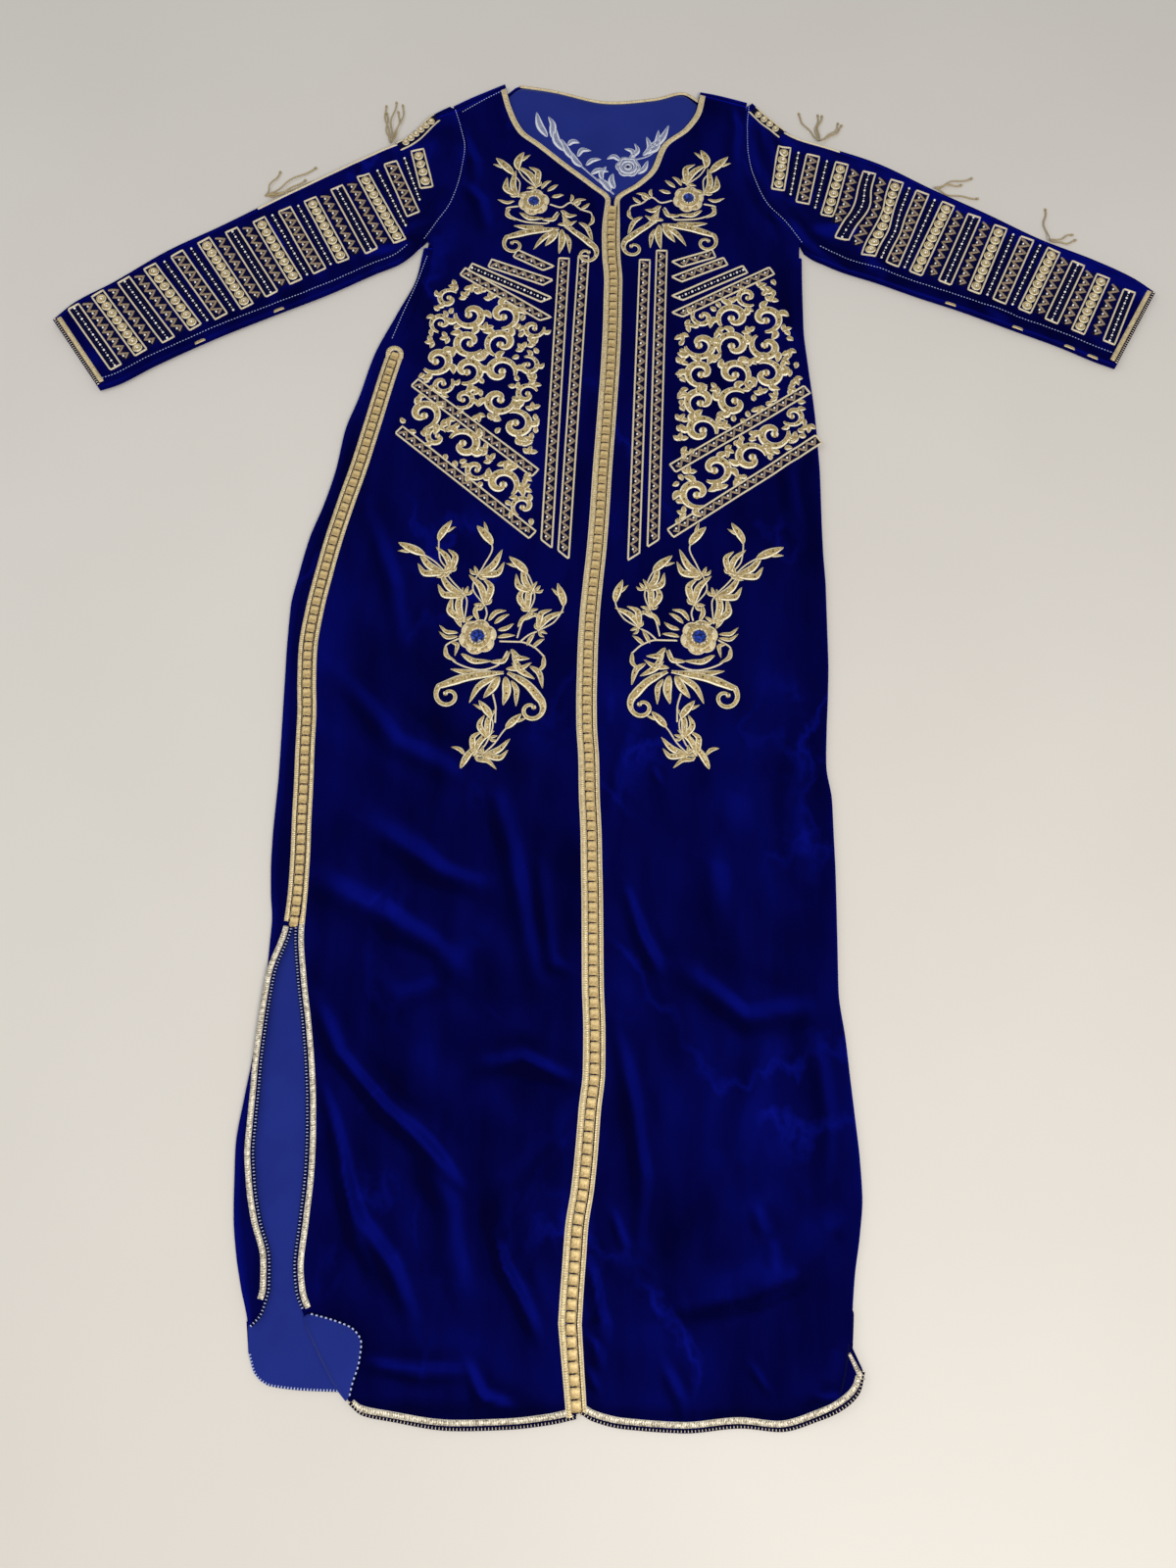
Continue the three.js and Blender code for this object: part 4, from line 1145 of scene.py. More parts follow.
@dataclass
class Cloth:
    """Every piece of cloth of the garment, with its flat cut in metres."""

    ground: Ground
    painted_light: PaintedSlopeLight = field(default_factory=PaintedSlopeLight)
    back_cut: Cut = Cut((0.58, 1.43), 0.691)
    lining_cut: Cut = Cut((0.53, 1.41), 0.635, ("back",))
    right_cut: Cut = Cut((0.31, 1.45), 0.335, ("lining_back",))
    left_cut: Cut = Cut((0.30, 1.45), 0.347, ("lining_back",))
    corner_cut: Cut = Cut((0.05, 0.08), 0.0019, ("front_right",))
    sleeve_right_cut: Cut = Cut((0.40, 0.53), 0.133)
    sleeve_left_cut: Cut = Cut((0.40, 0.53), 0.130)
    columns: int = 60
    yoke_from: float = 478.0

    def __post_init__(self) -> None:
        """Lays out the fronts and the levels of the body."""
        self.right = FrontPanel(self.ground, RIGHT_TOP, 3, 0.0, RIGHT_ENDS, RIGHT_HEM)
        self.left = FrontPanel(self.ground, LEFT_TOP, 5, ROLL, LEFT_ENDS, LEFT_HEM)
        self.levels = smooth(-BODY[:, 0], BODY, -np.arange(BODY[0, 0], BODY[-1, 0], -4.0))

    def build(self) -> dict[str, bpy.types.Object]:
        """Builds every cloth piece.

        Returns:
            The pieces, by name.
        """
        made = {"back": self.back(), "lining": self.lining(), "right": self.front_right(),
                "left": self.front_left(), "corner": self.corner()}
        for name, cut, ground, hole, facing in (
                ("sleeve_right", RIGHT_SLEEVE, self.ground.right, RIGHT_TOP, -1.0),
                ("sleeve_left", LEFT_SLEEVE, self.ground.left, LEFT_TOP, 1.0)):
            made[name] = self.sleeve(name, cut, ground, hole, facing)
        return made

    def lay(self, name: str, grids: Sequence[Array], finish: Finish, thick: float,
            *replaced: str) -> bpy.types.Object:
        """Makes one object from walls about grids, and logs its area.

        Args:
            name: name of the piece.
            grids: mid-surface grids.
            finish: its cloth.
            thick: its thickness.
            replaced: CAD nodes that it stands for.

        Returns:
            The object.
        """
        piece = Piece(name)
        for grid in grids:
            piece.wall(grid, thick, self.painted_light.shade(grid))
        log.info("%s: cut area %.4f m2", name, sum(area_of(grid) for grid in grids))
        return piece.make(finish, *replaced)

    def strip_rows(self) -> Array:
        """Level, outer side of the fold and seam edge of the back's folded strip, to its end."""
        end = paced(np.concatenate([BODY[-1:, :3], STRIP_END]), 2.5)[1:]
        return np.concatenate([self.levels[:, :3], end])

    def back(self) -> bpy.types.Object:
        """The back: flat on the ground, round the right side, and over both shoulders.

        Returns:
            The object.
        """
        rows = self.strip_rows()
        arc = fold_round(rows[:, [1, 0]], np.array([1.0, 0.0]))
        top_x = between(rows[:, 2:] - GAP, arc[:, :1, 0], np.linspace(0, 1, 9)[:-1])
        top = self.ground.front.place(level_grid(top_x, rows[:, 0]))
        seam = np.interp(-rows[:, 0], -BODY[:, 0], BODY[:, 5] - BODY[:, 6])[:, None]
        under_x = between(arc[:, -1:, 0], seam, np.linspace(0, 1, 40)[1:])
        under = at_height(level_grid(under_x, rows[:, 0]), BACK_Z)
        grids = [np.concatenate([top, arc, under], 1), at_height(self.back_yoke(BACK_NECK), BACK_Z),
                 at_height(self.back_hem(), BACK_Z), self.shoulder(RIGHT_SHOULDER, self.right)[::-1],
                 self.shoulder(LEFT_SHOULDER, self.left)]
        return self.lay("back", grids, Velvet(), CLOTH, "back", "back_side_fold", "shoulder_fold_right",
                        "shoulder_fold_left")

    def back_yoke(self, neck: Array, inset: float = 0.0) -> Array:
        """The upper part of the back or its lining, from the underarm level to the neck.

        Args:
            neck: its neck edge, from shoulder to shoulder.
            inset: how far its sides stay inside the back's.

        Returns:
            A grid of x and y.
        """
        t = np.linspace(0, 1, self.columns)
        v = np.linspace(1, 0, 56)[:, None]
        top_x = between(neck[0, 0], neck[-1, 0], t)
        line = paced(neck, 3.0)
        y = between(self.yoke_from, np.interp(top_x, line[:, 0], line[:, 1]), v)
        sides = smooth(-BACK_SIDES[:, 0], BACK_SIDES[:, 1:], -y.ravel()).reshape(*y.shape, 2)
        x = between(sides[..., 0] + inset, sides[..., 1] - inset, t)
        return np.stack([between(x, top_x, soft((v - 0.84) / 0.16)), y], 2)

    def back_hem(self) -> Array:
        """The lower end of the back, from the fronts' last level to the hem.

        Returns:
            The grid of points.
        """
        t = np.linspace(0, 1, self.columns)
        level, outer = BODY[-1, :2]
        top = np.column_stack([between(outer + 2 * ROLL, BODY[-1, 5] - BODY[-1, 6], t),
                               level - 26 * (1 - soft(t / 0.05))])
        return between(top, spread(paced(BACK_HEM, 3.0), t), np.linspace(0, 1, 14)[:, None, None])

    def shoulder(self, edge: Array, panel: FrontPanel) -> Array:
        """The back's cloth that comes over a shoulder to the front's shoulder seam.

        Args:
            edge: the fold's edge, from the neck outwards.
            panel: the front that it meets.

        Returns:
            A grid of points.
        """
        line = paced(edge, 4.0)
        seam = between(panel.rows[0, 2:4], panel.rows[0, :2], np.linspace(0, 1, len(line))[:, None])
        arc = fold_round(line, unit(seam - line))
        flat = between(seam[:, None], arc[:, :1, :2], np.linspace(0, 1, 5)[:-1, None])
        return np.concatenate([self.ground.front.place(flat), arc], 1)

    def lining(self) -> bpy.types.Object:
        """The back's lining, seen in the neck and in the slit.

        Returns:
            The object.
        """
        rows = self.levels
        t = np.linspace(0, 1, 40) ** 2.2
        body_x = between(rows[:, 1:2] + ROLL + 2.5, rows[:, 5:6] - rows[:, 6:7] - 3, t)
        body = level_grid(body_x, rows[:, 0])
        low = spread(paced(BACK_HEM, 3.0), t) + np.array([0.0, 1.0])
        skirt = np.concatenate([body, between(body[-1], low, np.linspace(0, 1, 22)[1:, None, None])])
        grids = [self.ground.lining.place(grid) for grid in (skirt, self.back_yoke(LINING_NECK, 8.0))]
        return self.lay("lining_back", grids, PlainCloth(), LINING, "lining_back")

    def front_right(self) -> bpy.types.Object:
        """The right front."""
        return self.lay("front_right", [self.right.grid()], Velvet(), CLOTH, "front_right")

    def front_left(self) -> bpy.types.Object:
        """The left front, with its rolled side and what is turned under.

        Returns:
            The object.
        """
        past = BODY[-1:] - np.eye(1, BODY.shape[1]) * 2
        rows = np.concatenate([self.levels, past])
        arc = fold_round(rows[:, [5, 0]], np.array([-1.0, 0.0]))
        arc[:, 0, 2] = self.ground.front.read(arc[:, 0, :2])[:, 0]
        seam = (rows[:, 5] - rows[:, 6] + GAP)[:, None]
        under = level_grid(between(arc[:, -1:, 0], seam, np.linspace(0, 1, 5)[1:]), rows[:, 0])
        fold = np.concatenate([arc, at_height(under, BACK_Z)], 1)
        return self.lay("front_left", [self.left.grid()[:, ::-1], fold], Velvet(), CLOTH, "front_left",
                        "front_left_under_fold")

    def corner(self) -> bpy.types.Object:
        """The right front's lower corner, turned up with its lining outwards.

        Returns:
            The object.
        """
        run = lengths(CORNER)
        rows = smooth(run, CORNER, np.linspace(0, run[-1], 30))
        t = np.linspace(0, 1, 16)
        grid = self.ground.front.place(between(rows[:, None, :2], rows[:, None, 2:], t[:, None]))
        wide = np.linalg.norm(rows[:, 2:] - rows[:, :2], axis=1)[:, None]
        grid[..., 2] += CLOTH + 0.4 + 2.2 * bell(t * wide - 6, 9) * soft(wide / 25)
        grid[..., 2] -= 2.0 * bell(t * wide, 2.5)
        self.corner_edge = grid[:, -1]
        return self.lay("front_right_corner", [grid], PlainCloth(), CLOTH, "front_right_corner")

    def sleeve(self, name: str, cut: Array, ground: Relief, hole: Array, facing: float) -> bpy.types.Object:
        """One sleeve: a flat tube, open at armhole and cuff.

        Args:
            name: name of the piece.
            cut: its rows, upper fold and lower fold.
            ground: the layer of its upper side.
            hole: rows of the front that it meets.
            facing: 1 for the left sleeve, -1 for the right.

        Returns:
            The object.
        """
        run = lengths((cut[:, :2] + cut[:, 2:]) / 2)
        rows = smooth(run, cut, np.linspace(0, run[-1], int(run[-1] / 4)))
        top, low = rows[:, :2], rows[:, 2:]
        inward = unit(low - top)
        margin = inward * (ROLL + 1)
        t = np.linspace(0, 1, 44)
        xy = between((top + margin)[:, None], (low - margin)[:, None], t[:, None])
        arm = spread(paced(hole[:, :2], 3.0), t) + np.array([facing * GAP, 0.0])
        pull = 1 - soft(np.linspace(0, run[-1], len(rows))[:, None, None] / 30)
        xy = xy + (arm - xy[:1]) * pull
        front = ground.place(xy)
        grid = np.concatenate([front, fold_round(low, -inward), at_height(xy[:, ::-1], BACK_Z),
                               fold_round(top, inward)[:, ::-1], front[:, :1]], 1)
        return self.lay(name, [grid[::-1] if facing < 0 else grid], Velvet(), CLOTH, name)

    def declare(self, made: dict[str, bpy.types.Object], on: dict[str, list]) -> None:
        """Looks up the flat cut of every cloth piece.

        Args:
            made: the cloth pieces by name.
            on: not used.
        """
        for name, piece in made.items():
            cut = getattr(self, f"{name}_cut")


# ---- ornament ----


class Section(Enum):
    """Cross-sections of a laid stroke: places across, and the height at each."""

    LEAF = ((-1, 0), (-0.82, 0.7), (-0.42, 1), (0, 0.55), (0.42, 1), (0.82, 0.7), (1, 0))
    ROUND = ((-1, 0), (-0.75, 0.7), (0, 1), (0.75, 0.7), (1, 0))
    FLAT = ((-1, 0), (-0.88, 1), (0, 1), (0.88, 1), (1, 0))


class Dome(Enum):
    """Profiles of a low dome: reach and height of each ring, up to its top."""

    BEAD = ((1.0, 0.0), (0.93, 0.45), (0.62, 0.85))
    KNOT = ((0.9, 0.0), (1.0, 0.5), (0.88, 0.85), (0.5, 1.0))


class Kind(Enum):
    """What fills a band."""

    ROSETTES = "coiled rosettes on a gold ground"
    ZIGZAG = "slanting bars and beads"
    BEADS = "lines of beads"


@dataclass(frozen=True)
class Stitch:
    """A row of short stitches: from one to the next, length and half width, and how they lie."""

    finish: Finish
    pitch: float
    long: float
    half: float
    over: float = 0.0
    across: bool = False


SEAM_STITCH = Stitch(PALE_BLUE, 3.4, 2.4, 0.45)
BRAID_STITCH = Stitch(PALE_BLUE, 3.6, 1.4, 0.4, 0.2)
DOT_STITCH = Stitch(PALE_BLUE, 3.6, 1.3, 0.5, 0.8)
SLIT_STITCH = Stitch(PALE_BLUE, 3.0, 2.6, 0.55, 0.8, True)
BACK_HEM_STITCH = Stitch(PALE_BLUE, 2.8, 2.6, 0.7, 0.5, True)
HEM_STITCH = Stitch(CREAM, 3.0, 2.8, 0.5, 0.8, True)
NECK_STITCH = Stitch(CREAM, 3.0, 2.8, 0.5, 0.9, True)
CUFF_STITCH = Stitch(CREAM, 3.0, 3.0, 0.55, 1.0, True)


def curl_path(points: Array, centre: Array) -> Array:
    """A stem that ends in an inward coil.

    Args:
        points: points of the stem.
        centre: middle of the coil.

    Returns:
        Points every 2 mm or so.
    """
    stem = paced(points, 2.5)
    arm = stem[-1] - centre
    way = stem[-1] - stem[-2]
    hand = 1.0 if arm[0] * way[1] - arm[1] * way[0] >= 0 else -1.0
    t = np.linspace(0, 1, 30)[1:]
    angle = math.atan2(arm[1], arm[0]) + hand * 2 * math.pi * t
    far = np.linalg.norm(arm) * (1 - 0.72 * t ** 0.75)
    return np.concatenate([stem, centre + spokes(angle) * far[:, None]])


class Pens:
    """The pieces that one group of ornament on one layer is drawn with, one for each finish."""

    def __init__(self, group: str, ground: Relief, lift: float = CLOTH / 2, pushes: Sequence = ()) -> None:
        """Starts a group with no pieces.

        Args:
            group: name of the group.
            ground: the layer that it lies on.
            lift: how far over the layer's middle it lies.
            pushes: where the cloth is bunched: middle, reach, and how far it is pushed.
        """
        self.group = group
        self.ground = ground
        self.lift = lift
        self.pushes = pushes
        self.pieces: dict[Finish, Piece] = {}

    def of(self, finish: Finish) -> Piece:
        """The group's piece in one finish."""
        return self.pieces.setdefault(finish, Piece(f"{self.group}_{finish.title}"))

    def bunched(self, xy: Array) -> Array:
        """Moves places with the cloth where it is bunched.

        Args:
            xy: the places.

        Returns:
            Where each of them goes.
        """
        moved = np.array(xy, float)
        for x, y, reach, right, up in self.pushes:
            near = bell(np.hypot(xy[:, 0] - x, xy[:, 1] - y), reach)
            moved += near[:, None] * np.array([right, up])
        return moved

    def make(self, replaced: dict[Finish, Sequence[str]]) -> list[bpy.types.Object]:
        """Makes every piece, in place of the CAD nodes given for its finish."""
        return [piece.make(finish, *replaced.get(finish, ())) for finish, piece in self.pieces.items()]

    def line(self, finish: Finish, path: Array, half: float | Array, high: float,
             section: Section = Section.ROUND, over: float = 0.0, close: bool = False) -> None:
        """Lays one stroke of thread, cord or braid on the cloth.

        Args:
            finish: what it is made of.
            path: points of its middle line.
            half: half its width, at each point or everywhere.
            high: height of its crown.
            section: shape across.
            over: how far over the cloth it lies.
            close: the path is a ring, its last point next to the first.
        """
        path = self.bunched(np.asarray(path, float))
        steps = np.roll(path, -1, axis=0) - np.roll(path, 1, axis=0) if close else np.gradient(path, axis=0)
        offsets, heights = np.array(section.value).T
        half = np.broadcast_to(half, len(path)).astype(float)
        xy = path[:, None] + right_of(unit(steps))[:, None] * (offsets[:, None] * half[:, None, None])
        crown = np.minimum(1, half / max(half.max(), 1e-9) * 1.5)
        if not close:
            crown[[0, -1]] *= 0.15
        rise = self.lift + over - SUNK_STROKE + (SUNK_STROKE + high) * crown[:, None] * heights
        rows, cols = rise.shape
        marks = np.column_stack([np.repeat(lengths(path), cols), np.tile(offsets, rows),
                                 np.full(rise.size, 0.5)])
        self.of(finish).add(self.ground.place(xy, rise).reshape(-1, 3), marks,
                            tiles(rows + close, cols) % rise.size)

    def dots(self, finish: Finish, centres: Array, radius: float, high: float, over: float = 0.0,
             sides: int = 6, twist: float = 0.0, stretch: Array | None = None, still: bool = False) -> None:
        """Lays low round or oval domes, such as beads, stitches and knots.

        Args:
            finish: what they are made of.
            centres: where each lies.
            radius: radius of each, or half width of an oval one.
            high: height of each.
            over: how far over the cloth they lie.
            sides: corners round each.
            twist: depth of a knot's twisted lobes, as a share of the radius.
            stretch: for oval ones, the long half axis of each as a vector.
            still: they don't move with bunched cloth.
        """
        piece = self.of(finish)
        centres = np.asarray(centres, float) if still else self.bunched(centres)
        count = len(centres)
        if not count:
            return
        rings = np.array((Dome.KNOT if twist else Dome.BEAD).value)
        reach, height = rings[:, :1], rings[:, 1:]
        turn = round_angles(sides)
        lobes = 1 - twist * np.cos(4 * turn) + 0.4 * twist * np.cos(2 * turn + 5 * height)
        flat = (spokes(turn) * (reach * lobes)[..., None]).reshape(-1, 2)
        flat = np.concatenate([flat, [[0, 0]]])
        rise = np.append(np.repeat(height, sides), 1.0)
        long = np.tile([radius, 0.0], (count, 1)) if stretch is None else stretch
        short = right_of(unit(long)) * -radius
        xy = centres[:, None] + flat[:, :1] * long[:, None] + flat[:, 1:] * short[:, None]
        lift = self.lift + over - SUNK_DOME + (SUNK_DOME + high) * rise
        around = np.append(np.tile(np.cos(turn), len(rings)), 0.0)
        middle = np.full(count * len(flat), 0.5)
        marks = np.column_stack([np.tile(rise, count), np.tile(around, count), middle])
        start = (np.arange(count) * len(flat))[:, None, None]
        rim = (len(rings) - 1) * sides + np.arange(sides)
        after = np.roll(rim, -1)
        cap = np.column_stack([rim, after, np.full(sides, len(flat) - 1)]) + start
        sheath = tiles(len(rings), sides, close=True)[:, ::-1] + start
        points = self.ground.place(xy, lift).reshape(-1, 3)
        piece.add(points, marks, sheath.reshape(-1, 4), cap.reshape(-1, 3))

    def stitches(self, stitch: Stitch, path: Array) -> None:
        """Lays a row of short stitches along a path.

        Args:
            stitch: the kind of stitch.
            path: the line that they follow.
        """
        line = paced(path, stitch.pitch)
        ahead = unit(np.gradient(line, axis=0))
        if stitch.across:
            ahead = -right_of(ahead)
        self.dots(stitch.finish, line, stitch.half, stitch.half * 1.1, stitch.over,
                  stretch=ahead * stitch.long / 2, still=True)

    def braid(self, finish: Finish, path: Array, high: float) -> None:
        """Lays one braid."""
        self.line(finish, path, BRAID / 2, high, Section.FLAT)

    def leaf(self, points: Sequence, wide: float, finish: Finish | None = None, over: float = 0.0) -> None:
        """Lays one padded leaf, on bare cloth and with two beads if no finish is given.

        Args:
            points: from its foot to its tip.
            wide: half its width.
            finish: what it is made of, if not the usual gold.
            over: how far over the cloth it lies.
        """
        path = paced(points, 1.8)
        t = np.linspace(0, 1, len(path))
        shape = np.maximum(0.05, np.sin(math.pi * t ** 0.8) ** 0.75)
        if finish is None:
            self.line(NAVY, path, wide * shape + 1.0, 0.5 + over, Section.FLAT)
        self.line(finish or GOLD, path, wide * shape, 1.3, Section.LEAF, over + 0.2)
        if wide > 2.9 and finish is None:
            self.dots(PEARL, path[[int(len(path) * 0.36)]], 0.8, 0.8, over + 1.0)
            self.dots(NAVY, path[[int(len(path) * 0.58)]], 0.85, 0.8, over + 1.0)

    def sprig(self, points: Sequence, hand: float, size: float) -> None:
        """Lays a bowed stem that ends in a bud, with leaves nested along it.

        Args:
            points: from the stem's foot to the bud's tip.
            hand: 1 for the first leaves on the stem's left, -1 for its right.
            size: size of the leaves.
        """
        path = paced(points, 1.5)
        run = lengths(path)
        last = int(np.searchsorted(run, run[-1] - 28 * size))
        self.line(CREAM, path[:last + 3], 0.9, 0.9)
        groups = max(1, round(run[-1] / 46))
        for group in range(groups):
            at = int(last * group / groups) + 1
            way = unit(path[at + 3] - path[at])
            side = -right_of(way) * hand
            foot = path[at] + side * 1.2
            for k, (long, off) in enumerate(((33, 5.0), (23, 13.0))):
                bow = foot + (way * long * 0.45 + side * (off * 0.9 + 1.6)) * size
                self.leaf([foot, bow, foot + (way * long + side * off) * size], 3.7 * size, over=0.25 * k)
            for out, up in ((-9.5, 2.0), (-7.5, 6.5), (9.5, 2.0), (7.5, 6.5)):
                bow = path[at] + (side * out * 0.6 + way * (up - 2.5)) * size
                self.leaf([path[at] + way, bow, path[at] + (side * out + way * up) * size], 1.8 * size)
        bud = path[last:]
        self.leaf(bud[::3] if len(bud) > 9 else bud, 4.5 * size, over=0.6)
        middle = bud[len(bud) // 3]
        way = unit(bud[-1] - middle)
        side = -right_of(way) * hand
        self.leaf([middle, middle + (way * 8 + side * 4.4) * size, middle + (way * 15 + side * 7.5) * size],
                  1.9 * size, over=0.3)

    def scroll(self, points: Array, centre: Array, wide: float) -> None:
        """Lays a broad leaf that thins out into a coil.

        Args:
            points: points of its stem.
            centre: middle of its coil.
            wide: half its width.
        """
        path = curl_path(points, centre)
        run = lengths(path)
        half = wide * np.interp(run / run[-1], (0, 0.15, 0.4, 0.62, 1), (0.3, 0.8, 1, 0.52, 0.36))
        self.line(NAVY, path, half + 0.9, 1.0, Section.FLAT)
        self.line(GOLD, path, half, 1.5, Section.LEAF, 0.5)
        self.dots(PEARL, path[3:len(path) // 2:4], 0.8, 0.9, 1.6)
        self.dots(NAVY, path[5:len(path) // 2:8], 0.85, 0.9, 1.6)
        self.dots(GOLD, path[-1:], wide * 0.5, 1.8, 0.4, sides=8)

    def border(self, corners: Array) -> None:
        """Lays a cord round a closed shape.

        Args:
            corners: its corners, in order.
        """
        ring = np.concatenate([corners, corners[:1]])
        path = spots(ring, np.arange(0, lengths(ring)[-1] - 1.2, 2.4))
        self.line(CREAM, path, 1.05, 1.1, over=0.2, close=True)

    def zigzag(self, start: Array, end: Array, wide: float, pitch: float = 11.5) -> None:
        """Lays slanting bars between two sides, with a bead in each bay between them.

        Args:
            start: middle of the first end.
            end: middle of the second end.
            wide: from side to side.
            pitch: length of two bays.
        """
        run = np.linalg.norm(end - start)
        bays = max(2, 2 * int(round(run / pitch)))
        turn = np.where(np.arange(bays + 1) % 2, 1, -1)[:, None]
        sway = -right_of((end - start) / run) * (wide / 2 - 2.2) * turn
        points = between(start, end, np.linspace(0, 1, bays + 1)[:, None]) + sway
        path = np.concatenate([np.linspace(a, b, 4)[:-1] for a, b in zip(points[:-1], points[1:])])
        self.line(TAUPE, path, 1.3, 0.8, Section.FLAT, 0.25)
        self.dots(PEARL, (points - sway * 1.3)[1:-1:2], 1.25, 1.5, 0.4)

    def band(self, start: Sequence[float], end: Sequence[float], wide: float, kind: Kind,
             cut: float = 0.0, framed: bool = True) -> None:
        """Lays one band.

        Args:
            start: middle of its first end.
            end: middle of its second end.
            wide: its width over the frame.
            kind: what fills it.
            cut: how far its second end slants.
            framed: lays a cord round it.
        """
        a, b = np.asarray(start, float), np.asarray(end, float)
        ahead = unit(b - a)
        side = -right_of(ahead) * wide / 2
        slant = ahead * cut / 2
        self.line(NAVY, paced([a + ahead, b - ahead], 4), wide / 2 - 0.8, 0.35, Section.FLAT)
        if framed:
            self.border(np.array([a + side, a - side, b - side - slant, b + side + slant]))
        first, last = a + ahead * 2.5, b - ahead * 2.5
        if kind is Kind.ZIGZAG:
            self.zigzag(first, last, wide)
        elif kind is Kind.BEADS:
            self.dots(PEARL, paced([first, last], 8.0), 1.4, 1.5, 0.3)
            self.dots(PEARL, paced([first + ahead * 4, last - ahead * 4], 8.0), 0.65, 0.8, 0.3)
        else:
            self.rosettes(first, last, wide)

    def rosettes(self, first: Array, last: Array, wide: float) -> None:
        """Lays a chain of coiled rosettes.

        Args:
            first: one end of the chain.
            last: its other end.
            wide: its width.
        """
        count = max(2, int(round(np.linalg.norm(last - first) / (wide * 0.78))))
        centres = between(first, last, ((np.arange(count) + 0.5) / count)[:, None])
        ring = spokes(round_angles(13)) * wide * 0.27
        for centre in centres:
            self.line(GOLD, centre + ring, wide * 0.11, 1.3, over=0.5, close=True)
        self.dots(GOLD_FLAT, centres, wide * 0.38, 0.6, 0.3, sides=10)
        self.dots(PEARL, centres, wide * 0.1, 1.6, 0.5)

    def flower(self, centre: Array, stone: float, radius: float) -> None:
        """Lays a padded flower about a set stone.

        Args:
            centre: its middle.
            stone: the stone's radius.
            radius: its own.
        """
        angle = round_angles(60)
        ring = spokes(angle)
        petals = spokes(np.arange(6) * math.pi / 3 + 0.3)
        self.dots(GOLD_FLAT, centre + petals * radius * 0.6, radius * 0.43, 2.0, sides=14)
        lobed = radius * (0.86 + 0.15 * np.abs(np.cos(3 * (angle - 0.3))) ** 0.7)
        self.line(CREAM, centre + ring * lobed[:, None], 0.85, 1.3, close=True)
        self.line(GOLD, centre + ring * radius * 0.62, radius * 0.13, 2.9, close=True)
        self.line(GOLD, centre + ring * (stone + 2.6), 1.3, 3.2, close=True)
        self.dots(PEARL, centre + petals * radius * 0.78, 0.8, 0.8, 1.8)
        self.dots(PEARL, centre + spokes(round_angles(14)) * (stone + 1.1), 1.0, 3.7)
        self.stone(centre, stone)

    def stone(self, centre: Array, radius: float) -> None:
        """Sets a cut stone with eight flat sides and a table.

        Args:
            centre: its middle.
            radius: its radius.
        """
        low, rim, crown = (
            self.ground.place(centre + radius * share * spokes(round_angles(8) + off), self.lift + high)
            for share, high, off in ((1.0, 2.6, 0.0), (1.0, 3.4, 0.0), (0.66, 4.4, math.pi / 8)))
        top = self.ground.place(centre[None], self.lift + 4.6)[0]
        for k in range(8):
            n = (k + 1) % 8
            for cut in ((low[k], low[n], rim[n], rim[k]), (rim[k], rim[n], crown[k]),
                        (rim[n], crown[n], crown[k]), (crown[k], crown[n], top)):
                self.of(BLUE_STONE).add(np.array(cut), np.array([0.0, 0.0, 0.5]), np.arange(len(cut))[None])


@dataclass(frozen=True)
class Flower:
    """What grows about a stone, as seen at the wearer's left of the middle."""

    sprigs: tuple
    leaves: tuple
    scrolls: tuple
    stems: tuple
    stone: float
    radius: float

    def draw(self, pens: Pens, place: Array, turn: Array) -> None:
        """Lays it about one stone.

        Args:
            pens: the pieces that it is drawn with.
            place: middle of the stone.
            turn: 1 and 1, or -1 and 1 where it is mirrored.
        """
        for stem in self.stems:
            pens.line(CREAM, paced(place + np.array(stem) * turn, 2), 1.0, 1.0)
        for half, *points in self.leaves:
            pens.leaf(place + np.array(points) * turn, half)
        for hand, size, *points in self.sprigs:
            pens.sprig(place + np.array(points) * turn, hand * turn[0], size)
        for half, centre, *points in self.scrolls:
            pens.scroll(place + np.array(points) * turn, place + np.array(centre) * turn, half)
        pens.flower(place, self.stone, self.radius)


# A flower about its stone. Sprigs: side of the flames, size, foot to tip. Leaves: half width, foot to
# tip. Scrolls: half width, middle of the coil, then the stem.
UPPER_SPRIGS = (
    (-1, 1.12, (3, 20), (-15, 37), (-21, 52), (-13, 73)),
    (1, 1.12, (-18, 6), (-17, 26), (-25, 38), (-46, 61)))
UPPER_LEAVES = (
    (3.0, (-16, -15), (-2, -23), (14, -22)), (2.6, (10, -24), (22, -24), (30, -14)),
    (2.4, (-30, -10), (-30, -18), (-20, -26)), (2.8, (28, -30), (40, -30), (50, -24)),
    (2.4, (44, -2), (50, 4), (60, 6)), (2.4, (33, -14), (38, -24), (46, -30)),
    (2.6, (8, 19), (12, 26), (19, 31)), (2.6, (15, 16), (20, 20), (27, 26)),
    (2.6, (20, 8), (26, 9), (34, 12)), (2.2, (-22, 1), (-30, -2), (-42, 3)),
    (2.4, (-26, -10), (-30, -14), (-26, -20)), (2.2, (42, 2), (44, 8), (42, 13)),
    (2.2, (48, -4), (52, 2), (52, 8)), (2.2, (54, -8), (60, -4), (64, 1)),
    (2.4, (68, -16), (68, -24), (62, -32)),
    (4.0, (14, -34), (-2, -36), (-22, -33)), (3.2, (31, -10), (42, -18), (50, -16)),
    (3.6, (34, -20), (42, -34), (52, -40)), (3.2, (52, -26), (62, -34), (69, -54)),
    (3.6, (30, -36), (14, -48), (2, -65)), (4.4, (29, -38), (22, -50), (15, -60)),
    (4.6, (33, -36), (34, -52), (31, -70)), (3.0, (37, -42), (42, -54), (43, -69)))
UPPER_SCROLLS = (
    (4.6, (-20, -60), (30, -36), (-4, -42), (-29, -50)), (4.6, (62, -70), (36, -32), (54, -45), (71, -60)))
